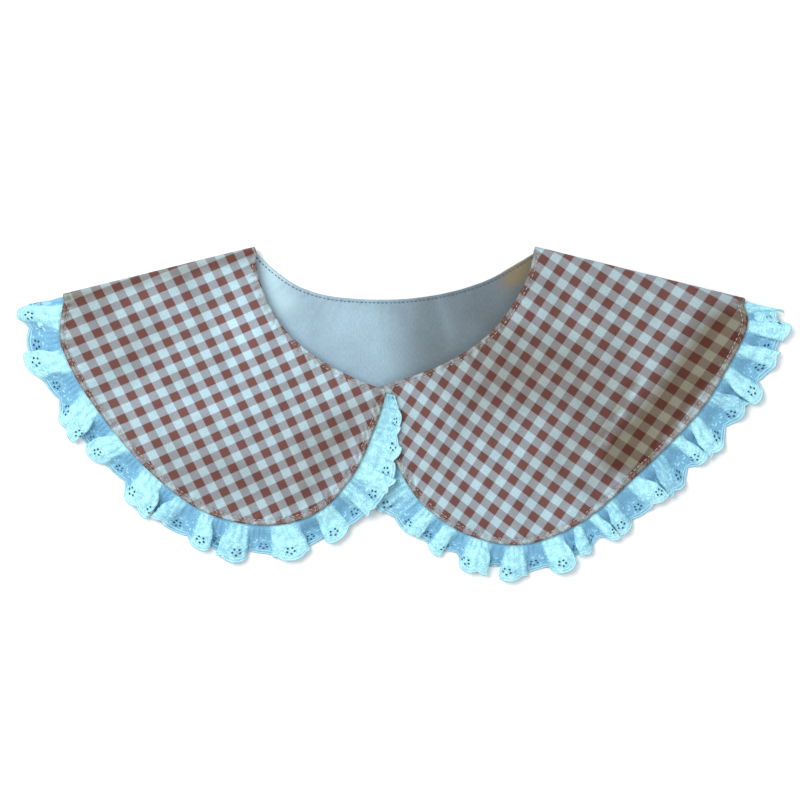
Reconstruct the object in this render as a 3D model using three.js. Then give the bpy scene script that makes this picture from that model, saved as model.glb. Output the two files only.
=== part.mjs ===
import * as THREE from 'three';

// A detachable collar, laid flat and folded at its two shoulder lines, in millimetres with +Z up.
// The back panel lies underneath, lining up. The two front lobes lie on it, gingham up.
// The origin is on the flat underside of the back panel, half way down its centre line.
// +Y runs towards the neck edge of the back, and +X towards the right-hand lobe.

// Outline of the collar as it lies
const neckSpan = 152.4; // between the shoulder points at the neck
const backNeckDip = 29.2; // depth of the back neck curve below the outside of the shoulder folds
const backDepth = 87; // neck edge to outer edge at the centre back
const leftShoulder = 108.8; // length of the left shoulder fold
const rightShoulder = 119;
const shoulderSlope = 13.9; // degrees that each shoulder fold falls outwards
const frontDrop = 79.2; // front corners below the outside of the shoulder folds
const frontLap = 11; // how far the left front corner laps over the right one
const frontShift = -9.9; // middle of the lap, from the centre back
const leftNeckBow = 17.4; // bow of each front neck edge from its chord
const rightNeckBow = 18.7;
const leftSweep = 91.3; // bow of each lobe's outer edge from its chord
const rightSweep = 101.8;

// Cloth
const ginghamThickness = 1;
const liningThickness = 1;
const laceThickness = 1;
const layerGap = 0.3; // between two layers of cloth
const foldInnerRadius = 0.4; // of the lining, inside the shoulder fold
const liningInset = 0.8; // lining edge inside the gingham edge
const creaseRise = 1.5; // of the highest crease in a lobe
const creaseSpread = 10; // from its top to where it has mostly died away

// Lace ruffle
const laceWidth = 23; // visible width of a flap
const headingDepth = 5; // lace caught between gingham and lining
const seamStep = 0.6; // the gathers start this far outside the gingham edge
const flapPitch = 15;
const waveHeight = 3; // of a free flap's crest above its middle
const flapLean = 1.6; // sideways sweep of a flap's tip
const scallopDepth = 2.2;
const unevenness = 0.3; // share by which the lowest flaps fall short of the full wave
const unevenTurn = 2.4; // radians from flap to flap, so that no two neighbours are alike
const waveRise = 0.8; // power by which a wave opens from the seam to the tip
const tableClear = 0.15; // under the lowest lace

// Hidden press stud between the front corners
const studDiameter = 6;
const studThickness = 1.4;
const studInset = 4.2; // its centre below the corners

// Counts of faces
const stepsPerSection = 2;
const foldSteps = 5;
const stepsPerFlap = 5;
const studSides = 16;
const acrossCuts = [0, 0.25, 0.5, 0.72, 0.87, 0.95, 1]; // neck edge to outer edge
const laceCuts = [0.6, 0.8, 1]; // rows of a flap, as shares of its width
const settleFrom = 0.72; // a lobe settles off the back panel from this share of its depth
const creaseFadeFront = 4; // creases fade within this share of the lobe, one over it, at each end
const creaseFadeFold = 8;
const shortestHold = 0.5; // share of a short section that the lace heading may take
const evenedStations = 2; // neighbours over which the ruffle's way out is evened

// Sections of a front lobe, from the front corner to the shoulder fold. Along and bow are shares of the
// chord and bow of the neck edge and of the outer edge. Lift is the share of the rise over the stud,
// and the sinks are shares of the way down to the table.
const leftSections = [
  { neckAlong: 0.01, neckBow: 0.03, edgeAlong: 0, edgeBow: 0.02, lift: 1, neckSink: 0, edgeSink: 0 },
  { neckAlong: 0.05, neckBow: 0.17, edgeAlong: 0, edgeBow: 0.09, lift: 1, neckSink: 0, edgeSink: 0 },
  { neckAlong: 0.13, neckBow: 0.4, edgeAlong: 0.005, edgeBow: 0.25, lift: 1, neckSink: 0, edgeSink: 0 },
  { neckAlong: 0.24, neckBow: 0.65, edgeAlong: 0.027, edgeBow: 0.53, lift: 0.88, neckSink: 0, edgeSink: 0 },
  { neckAlong: 0.37, neckBow: 0.87, edgeAlong: 0.1, edgeBow: 0.815, lift: 0.62, neckSink: 0, edgeSink: 0.3 },
  { neckAlong: 0.5, neckBow: 1, edgeAlong: 0.24, edgeBow: 0.98, lift: 0.26, neckSink: 0, edgeSink: 0.85 },
  { neckAlong: 0.63, neckBow: 0.99, edgeAlong: 0.435, edgeBow: 1, lift: 0.08, neckSink: 0, edgeSink: 0.85 },
  { neckAlong: 0.76, neckBow: 0.82, edgeAlong: 0.645, edgeBow: 0.825, lift: 0, neckSink: 0, edgeSink: 0.4 },
  { neckAlong: 0.88, neckBow: 0.53, edgeAlong: 0.855, edgeBow: 0.52, lift: 0, neckSink: 0, edgeSink: 0.05 },
  { neckAlong: 0.945, neckBow: 0.28, edgeAlong: 0.96, edgeBow: 0.3, lift: 0, neckSink: 0, edgeSink: 0 },
  { neckAlong: 0.98, neckBow: 0.11, edgeAlong: 0.99, edgeBow: 0.17, lift: 0, neckSink: 0, edgeSink: 0 },
  { neckAlong: 1, neckBow: 0, edgeAlong: 1, edgeBow: 0, lift: 0, neckSink: 0, edgeSink: 0 },
];
const rightSections = [
  { neckAlong: 0.01, neckBow: 0.03, edgeAlong: 0, edgeBow: 0.02, lift: 0, neckSink: 0.12, edgeSink: 0.12 },
  { neckAlong: 0.055, neckBow: 0.16, edgeAlong: 0, edgeBow: 0.085, lift: 0, neckSink: 0.12, edgeSink: 0.12 },
  { neckAlong: 0.13, neckBow: 0.35, edgeAlong: 0.01, edgeBow: 0.24, lift: 0, neckSink: 0.12, edgeSink: 0.12 },
  { neckAlong: 0.21, neckBow: 0.55, edgeAlong: 0.03, edgeBow: 0.42, lift: 0, neckSink: 0.12, edgeSink: 0.12 },
  { neckAlong: 0.31, neckBow: 0.76, edgeAlong: 0.076, edgeBow: 0.67, lift: 0, neckSink: 0.1, edgeSink: 0.25 },
  { neckAlong: 0.425, neckBow: 0.93, edgeAlong: 0.17, edgeBow: 0.88, lift: 0, neckSink: 0.08, edgeSink: 0.8 },
  { neckAlong: 0.535, neckBow: 1, edgeAlong: 0.305, edgeBow: 1, lift: 0, neckSink: 0.05, edgeSink: 0.9 },
  { neckAlong: 0.65, neckBow: 0.965, edgeAlong: 0.47, edgeBow: 0.95, lift: 0, neckSink: 0, edgeSink: 0.85 },
  { neckAlong: 0.76, neckBow: 0.8, edgeAlong: 0.65, edgeBow: 0.75, lift: 0, neckSink: 0, edgeSink: 0.45 },
  { neckAlong: 0.855, neckBow: 0.575, edgeAlong: 0.82, edgeBow: 0.52, lift: 0, neckSink: 0, edgeSink: 0.05 },
  { neckAlong: 0.93, neckBow: 0.34, edgeAlong: 0.925, edgeBow: 0.305, lift: 0, neckSink: 0, edgeSink: 0 },
  { neckAlong: 0.975, neckBow: 0.13, edgeAlong: 0.995, edgeBow: 0.12, lift: 0, neckSink: 0, edgeSink: 0 },
  { neckAlong: 1, neckBow: 0, edgeAlong: 1, edgeBow: 0, lift: 0, neckSink: 0, edgeSink: 0 },
];

// Sections of the back panel, from the left shoulder fold to the right one
const backSections = [
  { neckAlong: 0, neckBow: 0, edgeAlong: 0, edgeBow: 0 },
  { neckAlong: 0.07, neckBow: 0.39, edgeAlong: 0.06, edgeBow: 0.31 },
  { neckAlong: 0.15, neckBow: 0.71, edgeAlong: 0.15, edgeBow: 0.605 },
  { neckAlong: 0.25, neckBow: 0.91, edgeAlong: 0.26, edgeBow: 0.84 },
  { neckAlong: 0.37, neckBow: 0.99, edgeAlong: 0.375, edgeBow: 0.965 },
  { neckAlong: 0.5, neckBow: 1, edgeAlong: 0.49, edgeBow: 1 },
  { neckAlong: 0.62, neckBow: 0.93, edgeAlong: 0.605, edgeBow: 0.96 },
  { neckAlong: 0.74, neckBow: 0.775, edgeAlong: 0.72, edgeBow: 0.83 },
  { neckAlong: 0.84, neckBow: 0.56, edgeAlong: 0.83, edgeBow: 0.585 },
  { neckAlong: 0.92, neckBow: 0.29, edgeAlong: 0.925, edgeBow: 0.305 },
  { neckAlong: 1, neckBow: 0, edgeAlong: 1, edgeBow: 0 },
];

// Soft creases raised in the lobes. From and to are places on the lobe: the share of the way from the
// front corner to the fold, and from the neck to the outer edge. Rise and spread are shares of the
// named ones.
const leftCreases = [
  { from: [0.93, 0.5], to: [0.74, 0.8], rise: 0.75, spread: 0.9 },
  { from: [0.3, 0.45], to: [0.42, 0.85], rise: 0.6, spread: 0.9 },
];
const rightCreases = [
  { from: [0.93, 0.82], to: [0.55, 0.9], rise: 1, spread: 1 },
  { from: [0.97, 0.35], to: [0.66, 0.62], rise: 0.75, spread: 1 },
];

// How the ruffle lies along each outer edge. Along is the share of that edge, wave the share of the full
// wave height, droop the share of the way from the seam's height down to the table, and width the share
// of the full lace width that shows.
const leftRuffle = [
  { along: 0, wave: 0.3, droop: 0.1, width: 0.62 },
  { along: 0.06, wave: 0.35, droop: 0.1, width: 0.85 },
  { along: 0.16, wave: 0.4, droop: 0.1, width: 0.95 },
  { along: 0.27, wave: 0.8, droop: 0.8, width: 0.95 },
  { along: 0.38, wave: 1, droop: 1, width: 0.92 },
  { along: 0.52, wave: 1, droop: 1, width: 0.82 },
  { along: 0.74, wave: 1, droop: 1, width: 0.78 },
  { along: 0.86, wave: 0.45, droop: 0.2, width: 0.8 },
  { along: 1, wave: 0.2, droop: 0, width: 1 },
];
const rightRuffle = [
  { along: 0, wave: 0.2, droop: 0, width: 0.62 },
  { along: 0.06, wave: 0.2, droop: 0, width: 0.9 },
  { along: 0.13, wave: 0.3, droop: 0, width: 1 },
  { along: 0.22, wave: 0.8, droop: 0.8, width: 0.95 },
  { along: 0.32, wave: 1, droop: 1, width: 0.95 },
  { along: 0.5, wave: 1, droop: 1, width: 1 },
  { along: 0.76, wave: 1, droop: 1, width: 0.95 },
  { along: 0.88, wave: 0.45, droop: 0.2, width: 0.95 },
  { along: 1, wave: 0.2, droop: 0, width: 1 },
];
const backRuffle = [
  { along: 0, wave: 0.2, droop: 0, width: 1 },
  { along: 0.08, wave: 0.36, droop: 1, width: 0.95 },
  { along: 0.92, wave: 0.36, droop: 1, width: 0.95 },
  { along: 1, wave: 0.2, droop: 0, width: 1 },
];
const leftFoldRuffle = [
  { along: 0, wave: 0.2, droop: 0, width: 1 },
  { along: 1, wave: 0.2, droop: 0, width: 1 },
];
const rightFoldRuffle = [
  { along: 0, wave: 0.2, droop: 0, width: 1 },
  { along: 1, wave: 0.2, droop: 0, width: 1 },
];

// Heights worked out from the layers
const seamDepth = ginghamThickness + layerGap + laceThickness / 2;
const innerLiningDepth = ginghamThickness + layerGap;
const edgeLiningDepth = innerLiningDepth + laceThickness + layerGap;
const edgeStack = edgeLiningDepth + liningThickness;
const liningCloses = 3 * headingDepth; // inside the edge, where the lining lies close again
const foldRadius = edgeStack + foldInnerRadius;
const foldTop = 2 * foldRadius;
const settleDrop = foldTop - edgeStack - layerGap;
const rightCornerTop = foldTop - rightSections[0].neckSink * settleDrop;
const leftCornerTop = rightCornerTop + layerGap + studThickness + layerGap + edgeStack;
const cornerLift = leftCornerTop - foldTop;

// Key points of the plan
const slope = THREE.MathUtils.degToRad(shoulderSlope);
const shoulderY = backDepth / 2 + backNeckDip - foldRadius;
const backNeckBow = backNeckDip - foldRadius;
const leftNeckPoint = new THREE.Vector3(-neckSpan / 2, shoulderY, 0);
const rightNeckPoint = new THREE.Vector3(neckSpan / 2, shoulderY, 0);
const leftFoldLine = new THREE.Vector3(-Math.cos(slope), -Math.sin(slope), 0);
const rightFoldLine = new THREE.Vector3(Math.cos(slope), -Math.sin(slope), 0);
const leftTip = leftNeckPoint.clone().addScaledVector(leftFoldLine, leftShoulder);
const rightTip = rightNeckPoint.clone().addScaledVector(rightFoldLine, rightShoulder);
const cornerY = shoulderY + foldRadius - frontDrop;
const leftCorner = new THREE.Vector3(frontShift + frontLap / 2, cornerY, 0);
const rightCorner = new THREE.Vector3(frontShift - frontLap / 2, cornerY, 0);
const up = new THREE.Vector3(0, 0, 1);
const backSag = leftTip.y / 2 + rightTip.y / 2 + backDepth / 2;

// A place on a bowed edge: a share along the chord, and a length to the chord's left
function bowedPoint(start, end, along, bow) {
  const chord = end.clone().sub(start);
  const leftwards = new THREE.Vector3(-chord.y, chord.x, 0).normalize();
  return start.clone().addScaledVector(chord, along).addScaledVector(leftwards, bow);
}

// Smooth values of one named column through the sections
function columnAt(sections, column, share) {
  const place = share * (sections.length - 1);
  const row = Math.min(Math.floor(place), sections.length - 2);
  const value = (index) => sections[THREE.MathUtils.clamp(index, 0, sections.length - 1)][column];
  const blend = place - row;
  const rise = (value(row + 1) - value(row - 1)) / 2;
  const nextRise = (value(row + 2) - value(row)) / 2;
  const square = blend * blend;
  const cube = square * blend;
  return value(row) * (2 * cube - 3 * square + 1) + rise * (cube - 2 * square + blend)
    + value(row + 1) * (3 * square - 2 * cube) + nextRise * (cube - square);
}

const leftLobe = {
  sections: leftSections, corner: leftCorner, neckPoint: leftNeckPoint, tip: leftTip,
  neckBow: leftNeckBow, sweep: leftSweep, creases: leftCreases,
};
const rightLobe = {
  sections: rightSections, corner: rightCorner, neckPoint: rightNeckPoint, tip: rightTip,
  neckBow: -rightNeckBow, sweep: -rightSweep, creases: rightCreases,
};

// The neck end and the outer end of a lobe's section, in plan
function lobeEnds(lobe, share) {
  const read = (column) => columnAt(lobe.sections, column, share);
  return {
    neck: bowedPoint(lobe.corner, lobe.neckPoint, read('neckAlong'), read('neckBow') * lobe.neckBow),
    edge: bowedPoint(lobe.corner, lobe.tip, read('edgeAlong'), read('edgeBow') * lobe.sweep),
  };
}

function creaseHeight(lobe, place) {
  let height = 0;
  for (const crease of lobe.creases) {
    const ends = [crease.from, crease.to].map(([share, across]) => {
      const section = lobeEnds(lobe, share);
      return section.neck.lerp(section.edge, across);
    });
    const line = new THREE.Line3(ends[0], ends[1]);
    const nearest = line.closestPointToPoint(place, true, new THREE.Vector3());
    const away = nearest.distanceTo(place) / (crease.spread * creaseSpread);
    height += crease.rise * creaseRise * Math.exp(-away * away);
  }
  return height;
}

// Height of a lobe's gingham face above the table
function lobeTop(lobe, share, across, place) {
  const read = (column) => columnAt(lobe.sections, column, share);
  const settled = THREE.MathUtils.smoothstep(across, settleFrom, 1);
  const sink = THREE.MathUtils.lerp(read('neckSink'), read('edgeSink'), settled);
  const awayFromEnds = Math.min(1, share * creaseFadeFront, (1 - share) * creaseFadeFold);
  return foldTop + read('lift') * cornerLift - sink * settleDrop + creaseHeight(lobe, place) * awayFromEnds;
}

// Each station is one section of the collar. Its point() gives a place in the cloth from the share
// across it and the depth below the gingham's face, and normal is the way that face looks.
function lobeStation(lobe, share) {
  const { neck, edge } = lobeEnds(lobe, share);
  return {
    length: neck.distanceTo(edge),
    normal: up,
    point: (across, depth) => {
      const place = neck.clone().lerp(edge, across);
      return place.setZ(lobeTop(lobe, share, across, place) - depth);
    },
  };
}

function backStation(share) {
  const read = (column) => columnAt(backSections, column, share);
  const neck = bowedPoint(leftNeckPoint, rightNeckPoint, read('neckAlong'), -read('neckBow') * backNeckBow);
  const edge = bowedPoint(leftTip, rightTip, read('edgeAlong'), -read('edgeBow') * backSag);
  return {
    length: neck.distanceTo(edge),
    normal: up.clone().negate(),
    point: (across, depth) => neck.clone().lerp(edge, across).setZ(depth),
  };
}

// A shoulder fold is half a turn about its fold line: turn 0 lies in the back and 1 in the lobe
function foldStation(neckPoint, tip, turn) {
  const foldLine = tip.clone().sub(neckPoint).normalize();
  const outwards = new THREE.Vector3(-foldLine.y, foldLine.x, 0).multiplyScalar(Math.sign(foldLine.x));
  const angle = turn * Math.PI;
  return {
    length: neckPoint.distanceTo(tip),
    normal: outwards.clone().multiplyScalar(Math.sin(angle)).addScaledVector(up, -Math.cos(angle)),
    point: (across, depth) => {
      const radius = foldRadius - depth;
      const place = neckPoint.clone().lerp(tip, across).addScaledVector(outwards, radius * Math.sin(angle));
      return place.setZ(foldRadius - radius * Math.cos(angle));
    },
  };
}

// All stations in order: left lobe, left fold, back, right fold, right lobe. Each keeps the ruffle
// table of the run that ends at it.
function allStations() {
  const stations = [];
  const run = (steps, ruffle, build) => {
    for (let step = stations.length > 0 ? 1 : 0; step <= steps; step += 1) {
      stations.push({ ...build(step / steps), ruffle });
    }
  };
  const leftSteps = (leftSections.length - 1) * stepsPerSection;
  const backSteps = (backSections.length - 1) * stepsPerSection;
  const rightSteps = (rightSections.length - 1) * stepsPerSection;
  run(leftSteps, leftRuffle, (share) => lobeStation(leftLobe, share));
  run(foldSteps, leftFoldRuffle, (share) => foldStation(leftNeckPoint, leftTip, 1 - share));
  run(backSteps, backRuffle, backStation);
  run(foldSteps, rightFoldRuffle, (share) => foldStation(rightNeckPoint, rightTip, share));
  const rightRun = rightRuffle.map((row) => ({ ...row, along: 1 - row.along })).reverse();
  run(rightSteps, rightRun, (share) => lobeStation(rightLobe, 1 - share));
  return stations;
}

// A closed shell from two grids of points, the outer and the inner face, with walls round the border
// and round every cell that is left open
function shellGeometry(outer, inner, isOpen) {
  const rows = outer.length;
  const columns = outer[0].length;
  const positions = [];
  for (const grid of [outer, inner]) {
    for (const row of grid) {
      for (const point of row) {
        positions.push(point.x, point.y, point.z);
      }
    }
  }
  const innerStart = rows * columns;
  const filled = (row, column) => row >= 0 && column >= 0 && row < rows - 1 && column < columns - 1
    && !isOpen(row, column);
  const indices = [];
  for (let row = 0; row < rows - 1; row += 1) {
    for (let column = 0; column < columns - 1; column += 1) {
      if (!filled(row, column)) continue;
      const a = row * columns + column;
      const b = a + columns;
      const c = b + 1;
      const d = a + 1;
      indices.push(a, b, c, a, c, d);
      const [e, f, g, h] = [a, b, c, d].map((index) => index + innerStart);
      indices.push(e, g, f, e, h, g);
      const walls = [
        [a, b, filled(row, column - 1)], [b, c, filled(row + 1, column)],
        [c, d, filled(row, column + 1)], [d, a, filled(row - 1, column)],
      ];
      for (const [from, to, hasNeighbour] of walls) {
        if (hasNeighbour) continue;
        indices.push(to, from, from + innerStart, to, from + innerStart, to + innerStart);
      }
    }
  }
  const geometry = new THREE.BufferGeometry();
  geometry.setAttribute('position', new THREE.Float32BufferAttribute(positions, 3));
  geometry.setIndex(indices);
  geometry.computeVertexNormals();
  return geometry;
}

const noneOpen = () => false;

function ginghamGeometry(stations) {
  const face = (depth) => stations.map((station) => acrossCuts.map((across) => station.point(across, depth)));
  return shellGeometry(face(0), face(ginghamThickness), noneOpen);
}

// The lining lies close under the gingham, and opens near the outer edge to take the lace heading
function liningDepth(station, across) {
  const inside = station.length * (1 - across);
  const closed = THREE.MathUtils.smoothstep(inside, headingDepth + laceThickness, liningCloses);
  return THREE.MathUtils.lerp(edgeLiningDepth, innerLiningDepth, closed);
}

function liningGeometry(stations) {
  const face = (extra) => stations.map((station) => {
    const inset = Math.min(liningInset / station.length, shortestHold / 2);
    return acrossCuts.map((across) => {
      const place = THREE.MathUtils.lerp(inset, 1 - inset, across);
      return station.point(place, liningDepth(station, across) + extra);
    });
  });
  return shellGeometry(face(0), face(liningThickness), noneOpen);
}

function ruffleRow(table, along) {
  let row = 0;
  while (row < table.length - 2 && table[row + 1].along < along) row += 1;
  const [near, far] = [table[row], table[row + 1]];
  const blend = (along - near.along) / (far.along - near.along);
  return {
    wave: THREE.MathUtils.lerp(near.wave, far.wave, blend),
    droop: THREE.MathUtils.lerp(near.droop, far.droop, blend),
    width: THREE.MathUtils.lerp(near.width, far.width, blend),
  };
}

// The seam line of the ruffle as a list of places, with the length up to each
function seamLine(stations) {
  const places = stations.map((station) => station.point(1, seamDepth));
  const lengths = [0];
  for (let index = 1; index < places.length; index += 1) {
    lengths.push(lengths[index - 1] + places[index].distanceTo(places[index - 1]));
  }
  return { places, lengths, total: lengths[lengths.length - 1] };
}

// The way that the ruffle leaves the edge at each station, in plan, evened out over its neighbours
function outwardWays(stations, places) {
  const raw = stations.map((station, index) => {
    const before = places[Math.max(index - 1, 0)];
    const after = places[Math.min(index + 1, places.length - 1)];
    const tangent = after.clone().sub(before);
    return station.normal.clone().cross(tangent).setZ(0).normalize();
  });
  return raw.map((way, index) => {
    const sum = new THREE.Vector3();
    for (let other = index - evenedStations; other <= index + evenedStations; other += 1) {
      sum.add(raw[THREE.MathUtils.clamp(other, 0, raw.length - 1)]);
    }
    return sum.normalize();
  });
}

// Every step of the ruffle: its distance along the seam, and how the ruffle lies there. Each shoulder
// fold takes one whole flap, whose steps are the fold's own. The other runs share out their flaps evenly.
function ruffleSteps(stations, seam) {
  const found = [{ distance: 0, ...ruffleRow(stations[0].ruffle, 0) }];
  let start = 0;
  stations.forEach((station, index) => {
    const runsOn = index === 0 || stations[index + 1]?.ruffle === station.ruffle;
    if (runsOn) return;
    const length = seam.lengths[index] - seam.lengths[start];
    const isFold = station.ruffle === leftFoldRuffle || station.ruffle === rightFoldRuffle;
    const flaps = isFold ? 1 : Math.max(1, Math.round(length / flapPitch));
    const steps = flaps * stepsPerFlap;
    for (let step = 1; step <= steps; step += 1) {
      const along = step / steps;
      found.push({ distance: seam.lengths[start] + length * along, ...ruffleRow(station.ruffle, along) });
    }
    start = index;
  });
  return found;
}

// The ruffle, from one front corner round to the other
function ruffleGeometry(stations) {
  const seam = seamLine(stations);
  const ways = outwardWays(stations, seam.places);
  let segment = 0;
  const middle = ruffleSteps(stations, seam).map(({ distance, ...lie }, step) => {
    while (segment < stations.length - 2 && seam.lengths[segment + 1] < distance) segment += 1;
    const before = stations[segment];
    const after = stations[segment + 1];
    const gone = (distance - seam.lengths[segment]) / (seam.lengths[segment + 1] - seam.lengths[segment]);
    const blend = THREE.MathUtils.clamp(gone, 0, 1);
    const mix = (read) => read(before).lerp(read(after), blend);
    const outwards = ways[segment].clone().lerp(ways[segment + 1], blend).normalize();
    const normal = before.normal.clone().lerp(after.normal, blend).normalize();
    const tangent = seam.places[segment + 1].clone().sub(seam.places[segment]).normalize();
    const flap = step / stepsPerFlap;
    const phase = 2 * Math.PI * (flap - 0.5 / stepsPerFlap);
    const uneven = 1 - unevenness * (0.5 + 0.5 * Math.sin(unevenTurn * Math.floor(flap)));
    const wave = lie.wave * waveHeight;
    const base = mix((station) => station.point(1, seamDepth));
    const heading = mix((station) => {
      const hold = Math.min(headingDepth / station.length, shortestHold);
      return station.point(1 - hold, seamDepth);
    });
    const restHeight = wave + laceThickness / 2 + tableClear;
    const width = laceWidth * lie.width - scallopDepth * (0.5 - 0.5 * Math.cos(phase));
    const row = [heading, base.clone().addScaledVector(outwards, seamStep)];
    for (const cut of laceCuts) {
      const point = base.clone().addScaledVector(outwards, width * cut);
      point.z += lie.droop * cut * (restHeight - base.z);
      point.addScaledVector(normal, wave * uneven * Math.cos(phase) * cut ** waveRise);
      point.addScaledVector(tangent, flapLean * Math.sin(phase) * cut);
      row.push(point);
    }
    return row;
  });
  return laceShell(middle);
}

// Thickens the middle surface of the lace to both sides, and opens one eyelet in each flap
function laceShell(middle) {
  const rows = middle.length;
  const columns = middle[0].length;
  const at = (row, column) => middle[THREE.MathUtils.clamp(row, 0, rows - 1)][
    THREE.MathUtils.clamp(column, 0, columns - 1)];
  const offset = (distance) => middle.map((line, row) => line.map((point, column) => {
    const along = at(row + 1, column).clone().sub(at(row - 1, column));
    const out = at(row, column + 1).clone().sub(at(row, column - 1));
    return point.clone().addScaledVector(along.cross(out).normalize(), distance);
  }));
  const eyeletRow = columns - 3;
  const isEyelet = (row, column) => column === eyeletRow && row % stepsPerFlap === 0;
  return shellGeometry(offset(laceThickness / 2), offset(-laceThickness / 2), isEyelet);
}

// A plain closed press stud with turned-over rims
function studGeometry() {
  const radius = studDiameter / 2;
  const rim = studThickness / 4;
  const profile = [
    new THREE.Vector2(0, 0),
    new THREE.Vector2(radius - rim, 0),
    new THREE.Vector2(radius, rim),
    new THREE.Vector2(radius, studThickness - rim),
    new THREE.Vector2(radius - rim, studThickness),
    new THREE.Vector2(0, studThickness),
  ];
  return new THREE.LatheGeometry(profile, studSides).rotateX(Math.PI / 2);
}

function ginghamMaterial() {
  return new THREE.MeshStandardMaterial({ color: 0xb59d93, roughness: 0.9, metalness: 0 });
}

function liningMaterial() {
  return new THREE.MeshStandardMaterial({ color: 0xb4bcc3, roughness: 0.9, metalness: 0 });
}

function laceMaterial() {
  return new THREE.MeshStandardMaterial({ color: 0xe2f3fa, roughness: 0.85, metalness: 0 });
}

function studMaterial() {
  return new THREE.MeshStandardMaterial({ color: 0xc9cbcd, roughness: 0.35, metalness: 0.9 });
}

function piece(name, geometry, material) {
  const mesh = new THREE.Mesh(geometry, material);
  mesh.name = name;
  return mesh;
}

const stations = allStations();
const stud = piece('snap_fastener', studGeometry(), studMaterial());
stud.position.set(frontShift, cornerY - studInset, rightCornerTop + layerGap);

const collar = new THREE.Group();
collar.add(piece('gingham_shell', ginghamGeometry(stations), ginghamMaterial()));
collar.add(piece('lining', liningGeometry(stations), liningMaterial()));
collar.add(piece('lace_ruffle', ruffleGeometry(stations), laceMaterial()));
collar.add(stud);

export default collar;
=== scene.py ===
import bpy
import numpy as np
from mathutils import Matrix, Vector


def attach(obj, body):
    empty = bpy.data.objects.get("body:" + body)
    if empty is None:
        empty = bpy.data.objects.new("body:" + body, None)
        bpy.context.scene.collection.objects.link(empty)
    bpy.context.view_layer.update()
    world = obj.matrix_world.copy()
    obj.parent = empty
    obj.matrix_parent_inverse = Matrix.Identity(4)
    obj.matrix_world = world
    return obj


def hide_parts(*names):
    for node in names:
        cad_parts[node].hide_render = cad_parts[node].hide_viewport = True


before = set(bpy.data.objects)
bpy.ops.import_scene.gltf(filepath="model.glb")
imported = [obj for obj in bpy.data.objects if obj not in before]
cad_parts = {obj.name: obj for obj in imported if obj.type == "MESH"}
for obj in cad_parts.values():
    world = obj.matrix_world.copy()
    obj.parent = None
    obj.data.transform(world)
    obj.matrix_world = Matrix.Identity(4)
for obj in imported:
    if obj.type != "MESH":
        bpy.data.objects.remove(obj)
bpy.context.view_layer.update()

# A detachable gingham collar with a lining and a gathered eyelet-lace ruffle, laid flat and folded at
# its shoulders. Lengths are in millimetres until a mesh is made, and +Z is up. The origin is on the
# underside of the back panel, half way down its centre line, and +Y runs towards the back neck edge.
MM = 0.001


def table(columns, *rows):
    """A table of sections: one array for each named column."""
    return {name: np.array(values, float) for name, values in zip(columns.split(), zip(*rows))}


# Outline of the collar as it lies
NECK_SPAN = 152.4
BACK_NECK_DIP = 29.2
BACK_DEPTH = 87
LEFT_SHOULDER = 108.8
RIGHT_SHOULDER = 119
SHOULDER_SLOPE = 13.9
FRONT_DROP = 79.2
FRONT_LAP = 11
FRONT_SHIFT = -9.9
LEFT_NECK_BOW = 17.4
RIGHT_NECK_BOW = 18.7
LEFT_SWEEP = 91.3
RIGHT_SWEEP = 101.8

# Layers of cloth
GINGHAM = 1
LINING = 1
LACE_LAYER = 1
LAYER_GAP = 0.3
FOLD_INNER_RADIUS = 0.4
LINING_INSET = 0.8
CREASE_RISE = 1.5
CREASE_SPREAD = 10
SETTLE_FROM = 0.72
CREASE_FADE_FRONT = 4
CREASE_FADE_FOLD = 8
HEADING_DEPTH = 5
STUD_THICKNESS = 1.4

SECTION_COLUMNS = "neck_along neck_bow edge_along edge_bow lift neck_sink edge_sink"
LEFT_SECTIONS = table(
    SECTION_COLUMNS,
    (0.01, 0.03, 0, 0.02, 1, 0, 0),
    (0.05, 0.17, 0, 0.09, 1, 0, 0),
    (0.13, 0.4, 0.005, 0.25, 1, 0, 0),
    (0.24, 0.65, 0.027, 0.53, 0.88, 0, 0),
    (0.37, 0.87, 0.1, 0.815, 0.62, 0, 0.3),
    (0.5, 1, 0.24, 0.98, 0.26, 0, 0.85),
    (0.63, 0.99, 0.435, 1, 0.08, 0, 0.85),
    (0.76, 0.82, 0.645, 0.825, 0, 0, 0.4),
    (0.88, 0.53, 0.855, 0.52, 0, 0, 0.05),
    (0.945, 0.28, 0.96, 0.3, 0, 0, 0),
    (0.98, 0.11, 0.99, 0.17, 0, 0, 0),
    (1, 0, 1, 0, 0, 0, 0),
)
RIGHT_SECTIONS = table(
    SECTION_COLUMNS,
    (0.01, 0.03, 0, 0.02, 0, 0.12, 0.12),
    (0.055, 0.16, 0, 0.085, 0, 0.12, 0.12),
    (0.13, 0.35, 0.01, 0.24, 0, 0.12, 0.12),
    (0.21, 0.55, 0.03, 0.42, 0, 0.12, 0.12),
    (0.31, 0.76, 0.076, 0.67, 0, 0.1, 0.25),
    (0.425, 0.93, 0.17, 0.88, 0, 0.08, 0.8),
    (0.535, 1, 0.305, 1, 0, 0.05, 0.9),
    (0.65, 0.965, 0.47, 0.95, 0, 0, 0.85),
    (0.76, 0.8, 0.65, 0.75, 0, 0, 0.45),
    (0.855, 0.575, 0.82, 0.52, 0, 0, 0.05),
    (0.93, 0.34, 0.925, 0.305, 0, 0, 0),
    (0.975, 0.13, 0.995, 0.12, 0, 0, 0),
    (1, 0, 1, 0, 0, 0, 0),
)
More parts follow.
